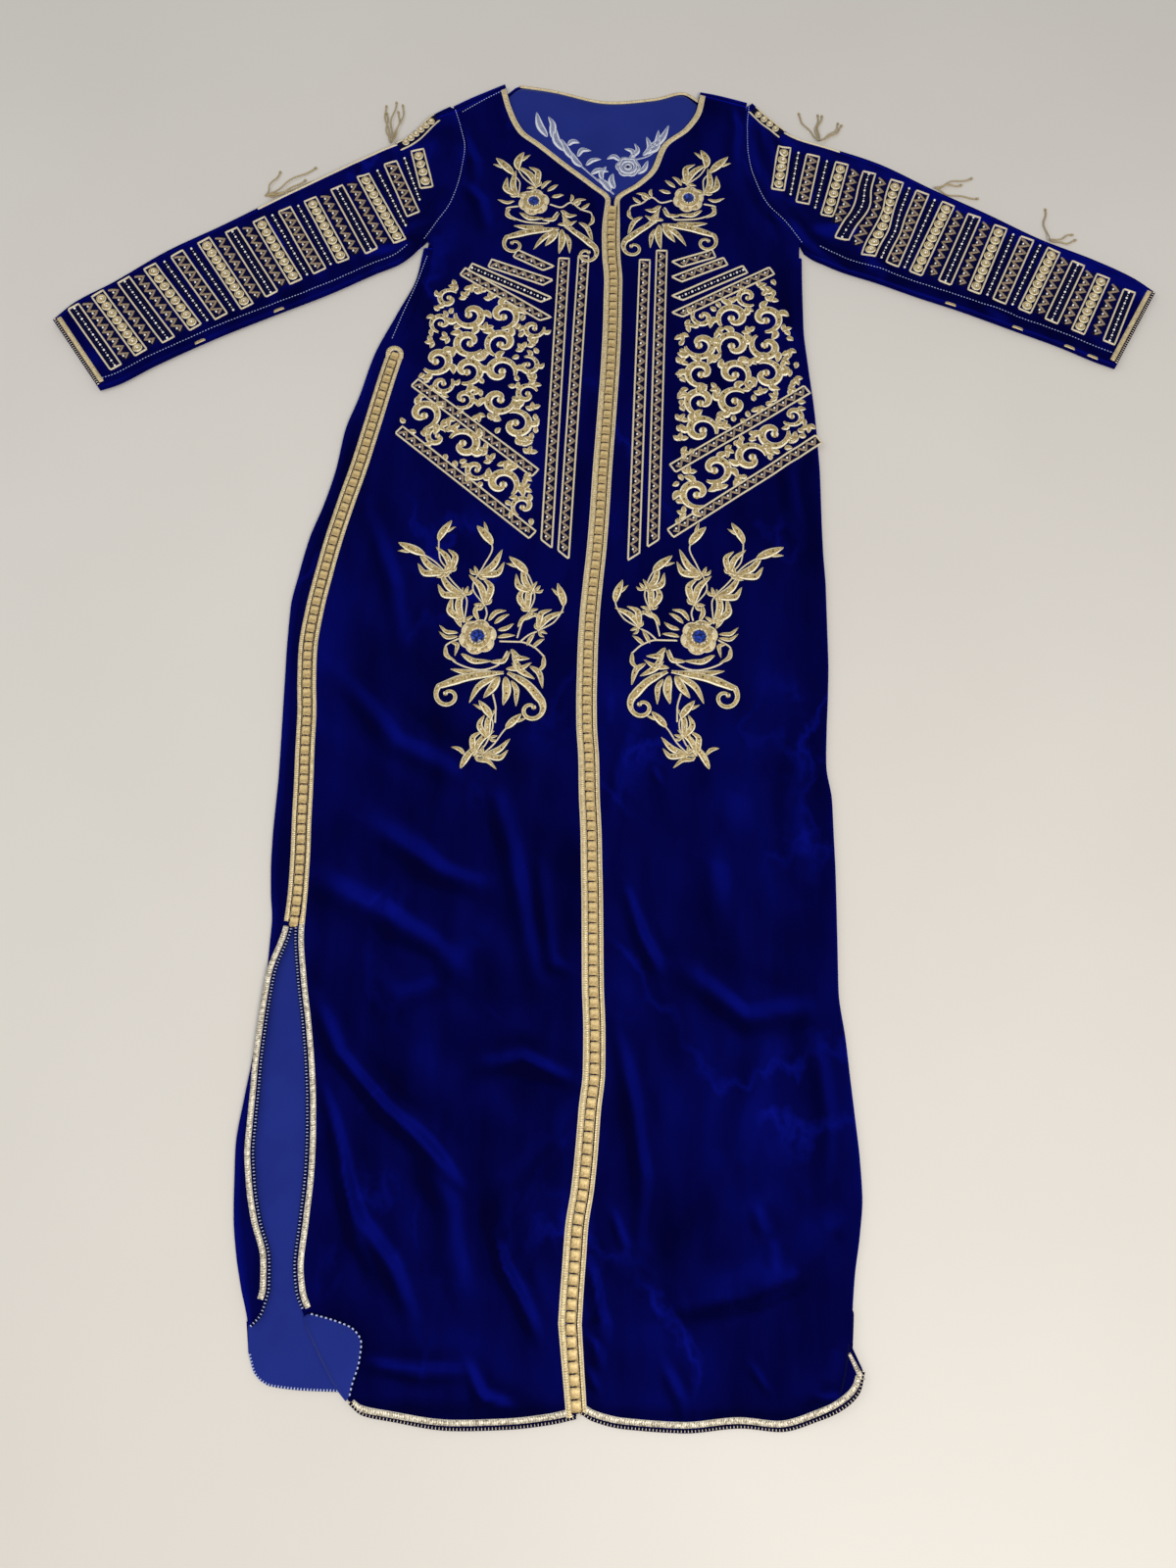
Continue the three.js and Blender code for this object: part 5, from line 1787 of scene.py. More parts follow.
UPPER_STEMS = (((-17, -6), (-31, -10), (-26, -20), (-5, -28), (14, -29), (28, -12)),
               ((18, -2), (31, -6), (42, 1), (54, -8), (66, -13), (68, -22)))
LOWER_SPRIGS = (
    (1, 1.15, (-15, 15), (-13, 38), (-30, 62), (-50, 84), (-88, 104)),
    (-1, 1.0, (-31, 70), (-44, 88), (-46, 106), (-34, 131)),
    (-1, 1.15, (6, 34), (-8, 56), (2, 80), (10, 100), (-9, 128)),
    (1, 1.05, (50, 28), (56, 46), (50, 68), (27, 92)),
    (1, 1.0, (60, 8), (78, 20), (86, 38), (79, 62)),
    (1, 0.95, (2, -127), (14, -114), (20, -94), (3, -66)),
    (-1, 0.95, (10, -126), (22, -114), (31, -100), (50, -79)))
LOWER_LEAVES = (
    (3.4, (-16, -19), (0, -27), (16, -26)), (3.0, (14, -27), (26, -26), (34, -14)),
    (2.6, (-32, -10), (-31, -20), (-20, -28)), (3.2, (30, -34), (44, -33), (56, -26)),
    (3.0, (46, 20), (56, 26), (62, 22)), (3.0, (36, -16), (41, -28), (50, -36)),
    (3.0, (-17, 10), (-24, 22), (-30, 30)), (2.8, (0, 18), (-4, 28), (-2, 38)),
    (2.8, (10, 18), (18, 28), (28, 30)), (2.6, (16, 15), (24, 22), (31, 26)),
    (2.6, (20, 8), (28, 10), (36, 16)), (2.4, (20, 0), (28, 2), (38, 3)),
    (2.4, (-20, 4), (-30, 4), (-40, 12)), (2.2, (-20, 0), (-30, -2), (-40, 5)),
    (2.4, (-28, -6), (-20, -10), (-22, -22)), (2.6, (40, 12), (46, 22), (58, 28)),
    (2.4, (50, -8), (54, 0), (58, 6)), (2.4, (56, -10), (62, -4), (68, 0)),
    (2.6, (68, -18), (68, -28), (60, -38)), (4.2, (20, -38), (-2, -40), (-26, -36)),
    (3.4, (34, -12), (44, -22), (54, -22)), (3.8, (36, -26), (46, -36), (60, -44)),
    (3.4, (54, -30), (64, -38), (68, -54)), (3.8, (22, -42), (4, -54), (-5, -72)),
    (4.8, (24, -42), (18, -54), (9, -66)), (5.0, (30, -42), (32, -58), (29, -73)),
    (3.2, (36, -46), (42, -58), (42, -74)), (3.8, (-10, -140), (-3, -126), (8, -114)),
    (2.6, (4, -131), (14, -131), (26, -140)), (2.4, (8, -127), (18, -125), (32, -129)),
    (2.4, (-6, -126), (-12, -120), (-20, -118)))
LOWER_SCROLLS = (
    (5.2, (-26, -65), (28, -38), (-6, -44), (-36, -55)), (5.2, (57, -77), (32, -38), (52, -50), (67, -67)))
LOWER_STEMS = (((-19, -2), (-32, -12), (-22, -28), (4, -36), (22, -30), (31, -14)),
               ((22, -4), (34, -4), (43, -4), (57, -9), (69, -20)),
               ((18, -60), (22, -78), (22, -92)), ((43, -4), (52, 4), (60, 8)),
               ((40, 0), (44, 16), (50, 28)), ((6, 18), (8, 26), (6, 34)))
UPPER = Flower(UPPER_SPRIGS, UPPER_LEAVES, UPPER_SCROLLS, UPPER_STEMS, 6.0, 17)
LOWER = Flower(LOWER_SPRIGS, LOWER_LEAVES, LOWER_SCROLLS, LOWER_STEMS, 7.2, 18.5)
FLOWERS = (UPPER, UPPER, LOWER, LOWER)

# The reverse of the back's embroidery, seen in the neck: half width, then foot to tip.
NECK_LEAVES = (
    (4.6, (-76, 642), (-86, 660), (-90, 678)), (4.2, (-70, 640), (-70, 658), (-76, 672)),
    (4.8, (-56, 622), (-66, 640), (-68, 658)), (3.4, (-52, 630), (-46, 636), (-38, 634)),
    (4.2, (-44, 610), (-52, 622), (-60, 640)), (3.2, (-40, 614), (-34, 624), (-24, 624)),
    (4.0, (-34, 600), (-42, 608), (-48, 622)), (3.0, (-30, 602), (-22, 610), (-12, 612)),
    (3.4, (-24, 590), (-14, 596), (-3, 594)), (3.2, (-10, 582), (-12, 590), (-6, 602)),
    (4.4, (0, 566), (-8, 578), (-16, 584)), (4.0, (4, 570), (0, 582), (2, 592)),
    (3.6, (36, 618), (44, 630), (40, 646)), (4.4, (36, 620), (52, 632), (54, 656)),
    (4.4, (40, 626), (58, 644), (66, 664)), (3.0, (26, 614), (24, 624), (14, 628)),
    (3.2, (10, 610), (2, 616), (-6, 612)), (3.4, (30, 592), (38, 600), (42, 612)),
    (3.0, (20, 614), (30, 626), (26, 636)))
NECK_STEMS = (
    ((4, 562), (-16, 582), (-40, 606), (-58, 626), (-74, 650)),
    ((26, 612), (42, 618), (56, 636), (62, 652)))

# Strips of gold rosettes, from the shoulder to the cuff, and the framed strip at the cuff: upper end,
# lower end.
RIGHT_GOLD = ((-226, 615, -212, 563), (-286, 577, -237, 486), (-344, 542, -299, 459),
              (-399, 511, -349, 429), (-458, 480, -400, 395), (-514, 443, -454, 366),
              (-567, 405, -509, 331))
LEFT_GOLD = ((201, 634, 192, 573), (267, 612, 248, 539), (330, 589, 293, 485), (387, 558, 345, 463),
             (445, 528, 409, 440), (503, 498, 464, 417), (556, 465, 521, 391))
RIGHT_FRAMED = (-591, 387, -534, 312)
LEFT_FRAMED = (584, 447, 554, 378)

# Where the back's embroidery shows at the lower fold.
RIGHT_GLIMPSES = ((-446, 345), (-363, 391))
LEFT_GLIMPSES = ((376, 408), (450, 383), (506, 365), (534, 357))

# Tassels: name, root, and the tip of each thread.
RIGHT_TASSELS = (
    ("tassel_right_1", (-257, 624), (-269, 680), (-265, 670), (-257, 686), (-247, 682), (-251, 672)),
    ("tassel_right_2", (-395, 544), (-383, 581), (-355, 572), (-344, 589), (-364, 551), (-338, 572)))
LEFT_TASSELS = (
    ("tassel_left_1", (242, 644), (219, 685), (243, 684), (246, 683), (266, 672), (270, 669)),
    ("tassel_left_2", (373, 581), (417, 599), (422, 573), (404, 590)),
    ("tassel_left_3", (500, 512), (500, 557), (527, 524), (530, 515)))

# Where the left sleeve is bunched: middle, reach, and how far the cloth is pushed.
LEFT_PUSHES = ((294, 552, 20, 6.0, 0), (266, 512, 22, -8.0, -5.0), (316, 520, 18, 3.5, 0))


@dataclass
class Chest:
    """The embroidery of the fronts: four flowers, framed bands and two scrolled panels."""

    ground: Ground
    middle: float = 4.0
    tall: tuple = (((-51, 470), (-58, 113)), ((-29, 474), (-40, 101)),
                   ((40, 471), (33, 101)), ((59, 484), (53, 117)))
    short: tuple = (((-106, 475), (-68, 456)), ((-134, 461), (-68, 437)), ((-156, 455), (-69, 414)),
                    ((-164, 449), (-69, 389)), ((118, 482), (76, 466)), ((131, 472), (76, 446)),
                    ((153, 462), (77, 421)), ((183, 461), (77, 399)))
    long: tuple = (((-208, 303), (-73, 196)), ((-221, 244), (-73, 123)),
                   ((218, 306), (73, 206)), ((229, 245), (71, 129)))
    short_kinds: tuple = (Kind.ZIGZAG, Kind.ZIGZAG, Kind.BEADS, Kind.ZIGZAG)
    panels: tuple = (
        ((-160, 440), (-70, 382), (-70, 206), (-202, 306), (-204, 334), (-186, 430)),
        ((75, 393), (184, 454), (214, 320), (208, 307), (75, 213)),
        ((-222, 252), (-205, 292), (-72, 188), (-72, 132)),
        ((226, 254), (212, 294), (74, 196), (74, 137)))

    def build(self) -> list[bpy.types.Object]:
        """Draws it all.

        Returns:
            The pieces.
        """
        upper, lower = (Pens(group, self.ground.front) for group in ("chest", "skirt"))
        for bands, wide, slant, kinds in ((self.tall, 11.5, 9, (Kind.ZIGZAG,)),
                                          (self.short, 10.5, 8, self.short_kinds),
                                          (self.long, 11.0, 0, (Kind.ZIGZAG,))):
            for k, (start, end) in enumerate(bands):
                upper.band(start, end, wide, kinds[k % len(kinds)], slant if start[0] < 0 else -slant)
        for k, outline in enumerate(self.panels):
            Scrollwork(np.array(outline, float), k).draw(upper)
        for stone, pens, flower in zip(STONES, (upper, upper, lower, lower), FLOWERS):
            turn = np.array([1.0 if stone[0] < self.middle else -1.0, 1.0])
            flower.draw(pens, np.array(stone, float), turn)
        made = []
        for pens, row in ((upper, "upper"), (lower, "lower")):
            made += pens.make({GOLD: [f"rosette_{row}_right", f"rosette_{row}_left"],
                               BLUE_STONE: [f"stone_{row}_right", f"stone_{row}_left"]})
        return made


@dataclass
class Scrollwork:
    """A shape filled with coils of two sizes, packed close, with buds in the gaps."""

    outline: Array
    seed: int
    coils: Pair = (18.0, 12.6)
    buds: Pair = (6.6, 4.0)
    grid: float = 2.0

    def inside(self, xy: Array) -> Array:
        """Tells which places lie in the outline.

        Args:
            xy: the places.

        Returns:
            Whether each lies inside.
        """
        hits = np.zeros(len(xy), int)
        for a, b in zip(self.outline, np.roll(self.outline, -1, axis=0)):
            crosses = (a[1] > xy[:, 1]) != (b[1] > xy[:, 1])
            rise = b[1] - a[1] if b[1] != a[1] else 1.0
            hits += crosses & (xy[:, 0] < a[0] + (xy[:, 1] - a[1]) * (b[0] - a[0]) / rise)
        return hits % 2 == 1

    def draw(self, pens: Pens) -> None:
        """Lays the coils, largest first and each as close to its neighbours as it goes.

        Args:
            pens: the pieces that they are drawn with.
        """
        chance = np.random.default_rng(40 + self.seed)
        low, high = self.outline.min(0), self.outline.max(0)
        xs, ys = np.meshgrid(*(np.arange(low[k], high[k], self.grid) for k in (0, 1)))
        places = np.column_stack([xs.ravel(), ys.ravel()])
        places = places[self.inside(places)]
        ring = np.concatenate([self.outline, self.outline[:1]])
        room = np.abs(to_line(ring, places)[0]) + 1.5
        hand = 1
        for radius in (*self.coils, *self.buds):
            while (room >= radius).any():
                centre = places[np.where(room >= radius, room, np.inf).argmin()]
                room = np.minimum(room, np.linalg.norm(places - centre, axis=1) - radius)
                angle = chance.uniform(0, 2 * math.pi)
                if radius in self.coils:
                    self.coil(pens, centre, radius, angle, hand)
                    hand = -hand
                else:
                    self.bud(pens, centre, radius, angle)

    def bud(self, pens: Pens, centre: Array, radius: float, angle: float) -> None:
        """Lays one leaf, or a fan of three where there is room.

        Args:
            pens: the pieces that it is drawn with.
            centre: its middle.
            radius: its reach.
            angle: its direction.
        """
        for turn in (-1.15, 0.0, 1.15) if radius == self.buds[0] else (0.0,):
            way = spokes(angle + turn)
            foot = centre - way * 2 if turn == 0.0 else centre
            bow = centre + way * 3 - right_of(way) * 0.8
            pens.leaf([foot, bow, centre + way * (radius + 2.6)], 3.1, GOLD)

    @staticmethod
    def coil(pens: Pens, centre: Array, radius: float, start: float, hand: int) -> None:
        """Lays one coil with a round end, and notched tips that reach its neighbours.

        Args:
            pens: the pieces that it is drawn with.
            centre: its middle.
            radius: its reach.
            start: direction of its outer end.
            hand: 1 to turn left, -1 to turn right.
        """
        t = np.linspace(0, 1, 30)
        far = radius * (0.84 * (1 - t) ** 0.8 + 0.13)
        path = centre + spokes(start + hand * 2.1 * math.pi * t ** 0.9) * far[:, None]
        half = radius * 0.26 * (0.35 + 0.65 * np.sin(math.pi * np.clip(t * 1.1, 0, 1)) ** 0.6)
        pens.line(GOLD, path, half, 1.3, Section.LEAF)
        pens.dots(GOLD, path[-1:], radius * 0.25, 1.7, sides=8)
        pens.dots(PEARL, path[[4, 9, 14]], 0.8, 0.8, 1.1)
        pens.dots(NAVY, path[[6, 12]], 0.9, 0.8, 1.1)
        for at in (2, 8, 14):
            out = unit(path[at] - centre)
            tip = path[at] + (out * 0.5 + unit(path[at] - path[at + 1]) * 0.42) * radius
            pens.leaf([path[at], path[at] + out * radius * 0.34, tip], radius * 0.24, GOLD)


@dataclass
class SleeveWork:
    """Everything laid on one sleeve."""

    side: str
    hand: int
    ground: Relief
    cut: Array
    hole: Array
    gold: tuple
    framed: tuple
    rosette_run: Pair
    cord_run: float
    underarm: float
    glimpses: tuple
    tassels: tuple
    pushes: tuple = ()
    strip: float = 14.5

    def build(self) -> list[bpy.types.Object]:
        """Draws the strips, cuff, shoulder band, seams and tassels.

        Returns:
            The pieces.
        """
        pens = Pens(f"sleeve_{self.side}", self.ground, pushes=self.pushes)
        for draw in (self.strips, self.cuff, self.shoulder, self.seams, self.fringe, self.fold_edge):
            draw(pens)
        side = self.side
        return pens.make({GOLD: [f"sleeve_band_{side}"], BRAID_GOLD: [f"cuff_braid_{side}"],
                          CREAM: [f"sleeve_cord_{side}"], FRINGE: [name for name, *_ in self.tassels]})

    def fold_edge(self, pens: Pens) -> None:
        """Glimpses of the back's embroidery at the lower fold.

        Args:
            pens: the pieces that they are drawn with.
        """
        low = paced(self.cut[:, 2:], 3.0)
        fold = beside(low, 1.9 * self.hand)
        for place in self.glimpses:
            near = int(np.argmin(np.linalg.norm(low - place, axis=1)))
            pens.line(GOLD_FLAT, fold[max(0, near - 2):near + 3], 1.5, 0.35, Section.FLAT)

    def strips(self, pens: Pens) -> None:
        """The ladder of strips from the shoulder to the cuff.

        Args:
            pens: the pieces that it is drawn with.
        """
        groups = ((Kind.BEADS, Kind.ZIGZAG, Kind.BEADS), (Kind.ZIGZAG, Kind.BEADS, Kind.ZIGZAG))
        wide = {Kind.BEADS: (10.0, 14.5), Kind.ZIGZAG: (13.5, 15.0)}
        gold, framed = np.array(self.gold, float), np.array(self.framed, float)
        for k, at in enumerate(gold):
            pens.band(at[:2], at[2:], self.strip, Kind.ROSETTES)
            for j, kind in enumerate(groups[k % 2] if k + 1 < len(gold) else ()):
                middle = between(at, gold[k + 1], (j + 1) / 4)
                pens.band(middle[:2], middle[2:], wide[kind][j % 2], kind, 0, j == 1)
        last = between(gold[-1], framed, 0.52)
        pens.band(last[:2], last[2:], 13.5, Kind.ZIGZAG, 0, False)
        pens.band(framed[:2], framed[2:], 13, Kind.BEADS)

    def cuff(self, pens: Pens) -> None:
        """The cuff's cord and braid.

        Args:
            pens: the pieces that they are drawn with.
        """
        top, low = self.cut[-1, :2], self.cut[-1, 2:]
        out = unit(top - self.cut[-2, :2])
        ahead = unit(low - top) * 4
        edge, braid = (paced([top + ahead - out * back, low - ahead - out * back], 3)
                       for back in (1.9, CORD_EDGE + BRAID / 2))
        pens.line(NAVY, edge, 1.6, 1.5)
        pens.braid(BRAID_GOLD, braid, 1.2)
        pens.stitches(CUFF_STITCH, edge)

    def shoulder(self, pens: Pens) -> None:
        """Coiled rosettes and a cord along the top fold.

        Args:
            pens: the pieces that they are drawn with.
        """
        top = paced(self.cut[:, :2], 3.0)
        run = lengths(top)
        first, last = self.rosette_run
        part = beside(top, -6.5 * self.hand)[(run > first) & (run < last)]
        pens.line(NAVY, part, 5.2, 0.5, Section.FLAT)
        for off in (-5.2, 5.2):
            pens.line(CREAM, beside(part, off), 0.9, 1.3)
        pens.rosettes(part[2], part[-3], 11)
        rest = beside(top, -3.5 * self.hand)[(run > last - 4) & (run < self.cord_run)]
        pens.line(CREAM, rest, 1.2, 1.3)

    def seams(self, pens: Pens) -> None:
        """Stitches along the armhole and the underarm seam."""
        pens.stitches(SEAM_STITCH, beside(paced(self.hole[:, :2], 3.0), 3.0 * self.hand))
        pens.stitches(SEAM_STITCH, beside(paced(self.cut[1:, 2:], 4.0), self.underarm * self.hand))

    def fringe(self, pens: Pens) -> None:
        """Thread tassels that fall from the top fold to the floor.

        Args:
            pens: the pieces that they are drawn with.
        """
        chance = np.random.default_rng(7)
        t = np.linspace(0, 1, 16)[:, None]
        z = 1.3 + (FOLD_TOP_Z - 1.3) * (1 - soft(t / 0.35)) + 1.2 * np.sin(math.pi * t) ** 2
        for _, root, *tips in self.tassels:
            for tip in tips:
                way = np.subtract(tip, root).astype(float)
                bend = chance.uniform(-4.5, 4.5)
                wave = bend * np.sin(math.pi * t) + 1.6 * np.sin(3 * math.pi * t + bend)
                path = np.column_stack([root + way * t - right_of(unit(way)) * wave * t ** 0.3, z])
                pens.of(FRINGE).tube(path, 0.85)
                steps = np.array([[0.0], [1.2], [2.8]])
                pens.of(FRINGE).tube(path[-1] + unit(path[-1] - path[-2]) * steps, 1.25)


@dataclass
class Trims:
    """Braids, knotted buttons, cords and seams of the body."""

    cloth: Cloth
    neck_v: float = 549.0
    strip_top: float = 338.0
    slit_top: float = -294.0
    slit_end: float = -628.0
    pitch: float = 10.0
    shoulder_seam: tuple = ((-176, 672), (-152, 690), (-130, 705))
    side_seam: tuple = ((-205, 466), (-214, 430), (-226, 392), (-236, 358))
    # The line of painted crease shade along the fold beside the flare.
    flare_fold_shade: tuple = ((229, -640), (225, -664), (220, -682))
    flare: Pair = (-682.0, -648.0)
    neck_flower: Pair = (19.0, 602.0)

    def build(self) -> list[bpy.types.Object]:
        """Draws them all.

        Returns:
            The pieces.
        """
        pens = Pens("trim", self.cloth.ground.front)
        for draw in (self.centre, self.hem, self.side, self.seams):
            draw(pens)
        made = pens.make({
            BRAID_GOLD: ["neck_front_braid_right", "neck_front_braid_left", "side_slit_braid_front",
                         "side_braid_turn", "side_slit_braid_back"],
            HEM_GOLD: ["hem_braid_right", "hem_braid_left"],
            KNOT_GOLD: ["front_buttons", "side_buttons"]})
        return made + self.corner_cord() + self.back_neck()

    @staticmethod
    def part(line: Array, low: float, high: float) -> Array:
        """The part of a line between two levels."""
        return line[(line[:, 1] > low) & (line[:, 1] < high)]

    def knots(self, pens: Pens, chain: Array, half: float, bed: float, long: float) -> None:
        """A chain of knotted buttons on its gold bed.

        Args:
            pens: the pieces that it is drawn with.
            chain: middles of the knots.
            half: half the width of a knot.
            bed: half the width of the bed.
            long: half the length of a knot.
        """
        ahead = unit(np.gradient(chain, axis=0))
        pens.line(GOLD_FLAT, chain, bed, 1.6, Section.FLAT)
        pens.dots(KNOT_GOLD, chain, half, 2.2, 0.4, 12, 0.16, ahead * long)

    def centre(self, pens: Pens) -> None:
        """Both fronts' braids and the chain of knotted buttons between them.

        Args:
            pens: the pieces that they are drawn with.
        """
        right, left = self.cloth.right, self.cloth.left
        for panel in (right, left):
            inset = panel.insets()
            pens.braid(BRAID_GOLD, panel.from_inner(inset + BRAID / 2), 1.2)
            pens.line(CREAM, panel.from_inner(inset + BRAID + 0.4), 0.6, 1.2)
            cord = panel.from_inner(1.2)[:len(panel.rows)][panel.rows[:, 4] < 1]
            pens.line(CREAM, cord, 0.7, 1.4)
        below = len(right.rows[right.rows[:, 1] > 505])
        edge = right.from_inner(CORD_EDGE - 0.9)[below:]
        pens.line(NAVY, edge, 1.1, 0.9)
        pens.stitches(DOT_STITCH, edge)
        front = left.from_inner(0.0)
        chain = paced(front[front[:, 1] < self.neck_v][:-1], self.pitch)[1:]
        self.knots(pens, chain + np.array([0.7, 0.0]), 4.7, 3.4, 6.1)
        # Navy stitches across the chain between the knots: painted shade in the gaps between them.
        painted_gap_shade = Stitch(NAVY, self.pitch, 8.0, 0.6, 2.2, True)
        pens.stitches(painted_gap_shade, chain - np.array([0.0, self.pitch / 2]))
        seam = left.from_inner(5.9)
        pens.line(NAVY, seam[seam[:, 1] < self.neck_v], 0.6, 0.9, over=0.9)

    def hem(self, pens: Pens) -> None:
        """The hem's braid, the serrated cord at its edge, and a painted shade line along the flare's fold.

        Args:
            pens: the pieces that they are drawn with.
        """
        for panel in (self.cloth.right, self.cloth.left):
            pens.braid(HEM_GOLD, panel.above_hem(CORD_EDGE + BRAID / 2, 0.03), 1.0)
            edge = panel.above_hem(1.6)
            pens.line(NAVY, edge, 1.6, 1.3)
            pens.stitches(HEM_STITCH, edge)
        flare = self.part(self.cloth.left.from_outer(5.5), *self.flare)
        pens.line(HEM_GOLD, flare, BRAID / 2 * np.linspace(0.5, 1, len(flare)), 1.0, Section.FLAT)
        # A thin navy stroke where the flare's fold makes a crease: painted shade.
        pens.line(NAVY, paced(self.flare_fold_shade, 3), 0.9, 0.25)

    def side(self, pens: Pens) -> None:
        """The braids down the side, their turn at the top, the buttons and the slit's cords.

        Args:
            pens: the pieces that they are drawn with.
        """
        rows = self.cloth.strip_rows()
        rows = rows[rows[:, 0] < self.strip_top]
        back = rows[:, [2, 0]]
        front, down = (self.part(self.cloth.right.from_outer(off), self.slit_end, self.strip_top)
                       for off in (0.0, CORD_EDGE + BRAID / 2))
        low = back[:-9] - np.array([CORD_EDGE + BRAID / 2, 0.0])
        for line in (low, down):
            pens.braid(BRAID_GOLD, line[line[:, 1] > self.slit_top], 1.1)
            pens.braid(HEM_GOLD, line[line[:, 1] < self.slit_top + 4], 1.1)
        middle = np.array([(low[0, 0] + down[0, 0]) / 2, self.strip_top])
        turn = spokes(np.linspace(math.pi, 0, 16)) * abs(down[0, 0] - low[0, 0]) / 2
        foot = np.array([0.0, 6.0])
        pens.braid(BRAID_GOLD, middle + np.concatenate([turn[:1] - foot, turn, turn[-1:] - foot]), 1.1)
        seam = back + np.array([GAP / 2, 0.0])
        chain = paced(seam[seam[:, 1] > self.slit_top], self.pitch)
        self.knots(pens, chain, 4.3, 3.2, 5.9)
        for off in (-4.9, 4.9):
            pens.line(NAVY, beside(chain, off), 0.5, 0.9, over=0.8)
        ahead = unit(np.gradient(chain, axis=0))
        # Navy stitches across the chain between the knots: painted shade in the gaps between them.
        painted_gap_shade = Stitch(NAVY, self.pitch, 7.4, 0.55, 2.2, True)
        pens.stitches(painted_gap_shade, chain[:-1] + ahead[:-1] * self.pitch / 2)
        for line, hand in ((back, -1), (front, 1)):
            slit = line[line[:, 1] < self.slit_top + 4] + np.array([1.5 * hand, 0.0])
            pens.line(NAVY, slit, 1.5, 1.2)
            pens.stitches(SLIT_STITCH, slit)
        for line, hand in ((back, -1), (front, 1)):
            upper = line[line[:, 1] > self.slit_top] + np.array([2.6 * hand, 0.0])
            pens.stitches(BRAID_STITCH, upper)

    def seams(self, pens: Pens) -> None:
        """Pale stitches along the right shoulder and the side seam over the braid's turn."""
        for seam in (self.shoulder_seam, self.side_seam):
            pens.stitches(SEAM_STITCH, seam)

    def corner_cord(self) -> list[bpy.types.Object]:
        """The twisted blue and white cord round the turned corner.

        Returns:
            The pieces.
        """
        edge = self.cloth.corner_edge
        pens = Pens("corner", self.cloth.ground.front)
        up = np.array([0.0, 0.0, 0.3])
        for k, at in enumerate(np.arange(0, lengths(edge)[-1], 2.1)):
            first, last = spots(edge, [at, at + 1.7])
            path = np.array([first + up, (first + last) / 2 + up * 1.8, last + up])
            pens.of(PALE_BLUE if k % 2 else NAVY).tube(path, 0.8)
        return pens.make({})

    def back_neck(self) -> list[bpy.types.Object]:
        """The back neck's serrated cord and the lining's reverse embroidery.

        Returns:
            The pieces.
        """
        pens = Pens("neck", self.cloth.ground.lining, LINING / 2)
        cord = paced(BACK_NECK[2:8], 3.0) - np.array([0.0, 1.6])
        pens.line(BRAID_GOLD, cord, 1.5, 1.4)
        pens.stitches(NECK_STITCH, cord)
        for stem in NECK_STEMS:
            pens.line(REVERSE, paced(stem, 2), 1.1, 0.6)
        for half, *points in NECK_LEAVES:
            pens.leaf(points, half, REVERSE)
        angle = round_angles(30)
        lobed = 13.0 * (0.84 + 0.18 * np.abs(np.cos(3 * angle)))
        flower = np.array(self.neck_flower)
        for radius, half, high in ((lobed[:, None], 1.7, 1.0), (8.4, 2.2, 1.3), (3.6, 1.5, 1.4)):
            pens.line(REVERSE, flower + spokes(angle) * radius, half, high, Section.LEAF, close=True)
        pens.dots(NAVY, flower[None], 1.8, 0.8)
        pens.stitches(BACK_HEM_STITCH, paced(BACK_HEM, 3.0)[1:-8] + np.array([0.6, 1.4]))
        return pens.make({BRAID_GOLD: ["back_neck_cord"]})


@dataclass(frozen=True)
class Lamp:
    """A square soft light: where it stands, its side, its power and its colour."""

    place: tuple[float, float, float]
    size: float
    power: float
    colour: Colour


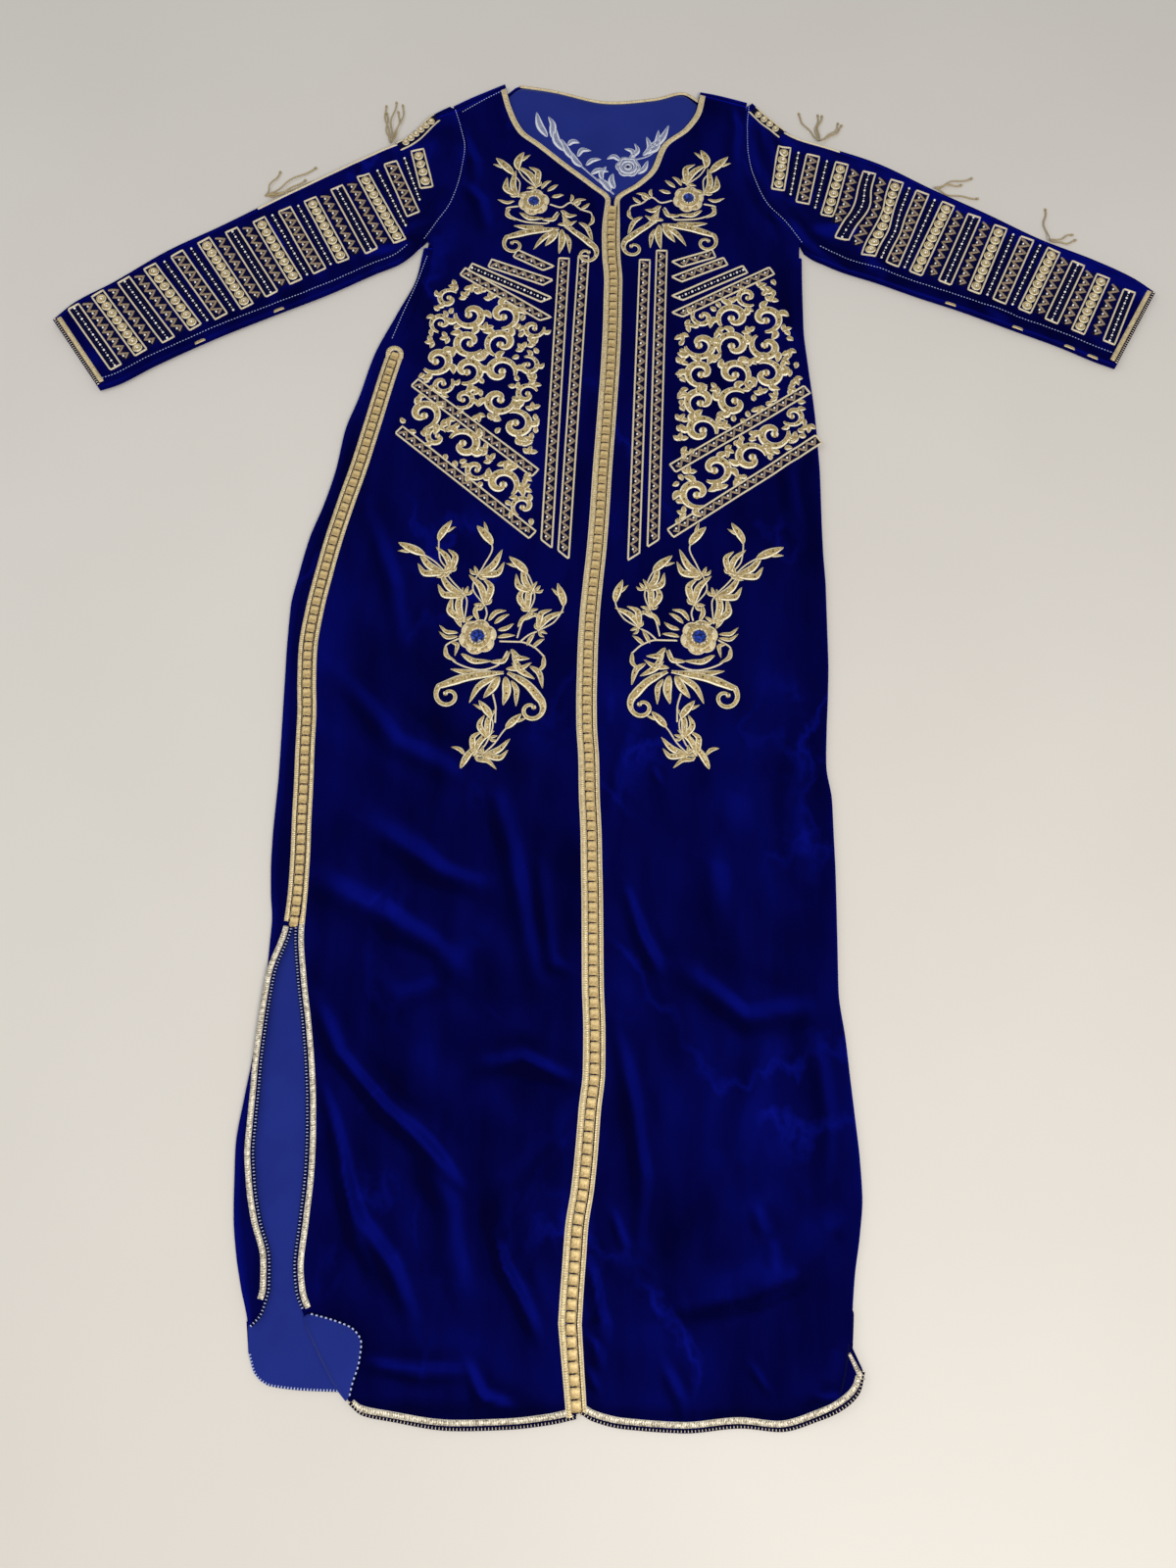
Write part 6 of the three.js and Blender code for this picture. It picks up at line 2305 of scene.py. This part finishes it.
@dataclass
class Studio:
    """Floor, lights and camera."""

    camera_at: tuple[float, float, float] = (-8.0, -473.0, 1111.0)
    tilt: float = 16.45
    roll: float = 1.55
    lens: float = 27.05
    key: Lamp = Lamp((0.7, -1.5, 2.3), 1.1, 56.0, (1.0, 0.97, 0.92))
    fill: Lamp = Lamp((-1.6, 0.2, 1.9), 1.6, 10.0, (0.92, 0.96, 1.0))
    sky: tuple[float, float, float, float] = (0.86, 0.91, 1.0, 1.0)
    sky_power: float = 0.52
    floor_half: float = 2.6
    floor_z: float = -0.0002

    def build(self) -> None:
        """Builds them all."""
        self.floor()
        self.lights()
        self.camera()

    @staticmethod
    def link(name: str, data: bpy.types.ID) -> bpy.types.Object:
        """Puts a new object into the scene.

        Args:
            name: name of the object.
            data: what it holds.

        Returns:
            The object.
        """
        made = bpy.data.objects.new(name, data)
        bpy.context.scene.collection.objects.link(made)
        return made

    def floor(self) -> None:
        """A pale floor under the garment."""
        mesh = bpy.data.meshes.new("floor")
        line = np.linspace(-self.floor_half, self.floor_half, 13)
        x, y = np.meshgrid(line, -line)
        points = np.column_stack([x.ravel(), y.ravel(), np.full(x.size, self.floor_z)])
        mesh.from_pydata(points.tolist(), [], tiles(*x.shape).tolist())
        mesh.materials.append(Tile().material())
        made = self.link("floor", mesh)

    def lights(self) -> None:
        """A broad key from the hem's side, a low fill and a soft sky."""
        world = bpy.data.worlds.new("room")
        bpy.context.scene.world = world
        world.use_nodes = True
        sky = world.node_tree.nodes["Background"].inputs
        sky[0].default_value = self.sky
        sky[1].default_value = self.sky_power
        for name, lamp in (("key", self.key), ("fill", self.fill)):
            data = bpy.data.lights.new(name, "AREA")
            data.size = lamp.size
            data.energy = lamp.power
            data.color = lamp.colour
            made = self.link(name, data)
            made.location = lamp.place
            made.rotation_euler = (-Vector(lamp.place)).to_track_quat("-Z", "Y").to_euler()

    def camera(self) -> None:
        """A camera above the skirt, looking down and a little towards the neck."""
        data = bpy.data.cameras.new("camera")
        data.lens = self.lens
        data.sensor_width = 36
        data.clip_end = 50
        place = (np.array(self.camera_at) + SHIFT) / 1000
        camera = self.link("camera", data)
        camera.matrix_world = (Matrix.Translation(place.tolist())
                               @ Matrix.Rotation(math.radians(self.tilt), 4, "X")
                               @ Matrix.Rotation(math.radians(self.roll), 4, "Z"))
        bpy.context.scene.camera = camera
        bpy.context.scene.view_settings.view_transform = "Standard"


def main() -> None:
    """Builds the garment and its studio."""
    logging.basicConfig(level=logging.INFO, format="%(name)s: %(message)s")
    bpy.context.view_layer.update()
    Studio().build()
    ground = Ground()
    cloth = Cloth(ground)
    made = cloth.build()
    Trims(cloth).build()
    Chest(ground).build()
    right = SleeveWork("right", 1, ground.right, RIGHT_SLEEVE, RIGHT_TOP, RIGHT_GOLD, RIGHT_FRAMED,
                       (22, 86), 265, 12, RIGHT_GLIMPSES, RIGHT_TASSELS)
    left = SleeveWork("left", -1, ground.left, LEFT_SLEEVE, LEFT_TOP, LEFT_GOLD, LEFT_FRAMED,
                      (8, 60), 128, 17, LEFT_GLIMPSES, LEFT_TASSELS, LEFT_PUSHES)
    cloth.declare(made, {"sleeve_right": right.build(), "sleeve_left": left.build()})


if __name__ == "__main__":
    main()
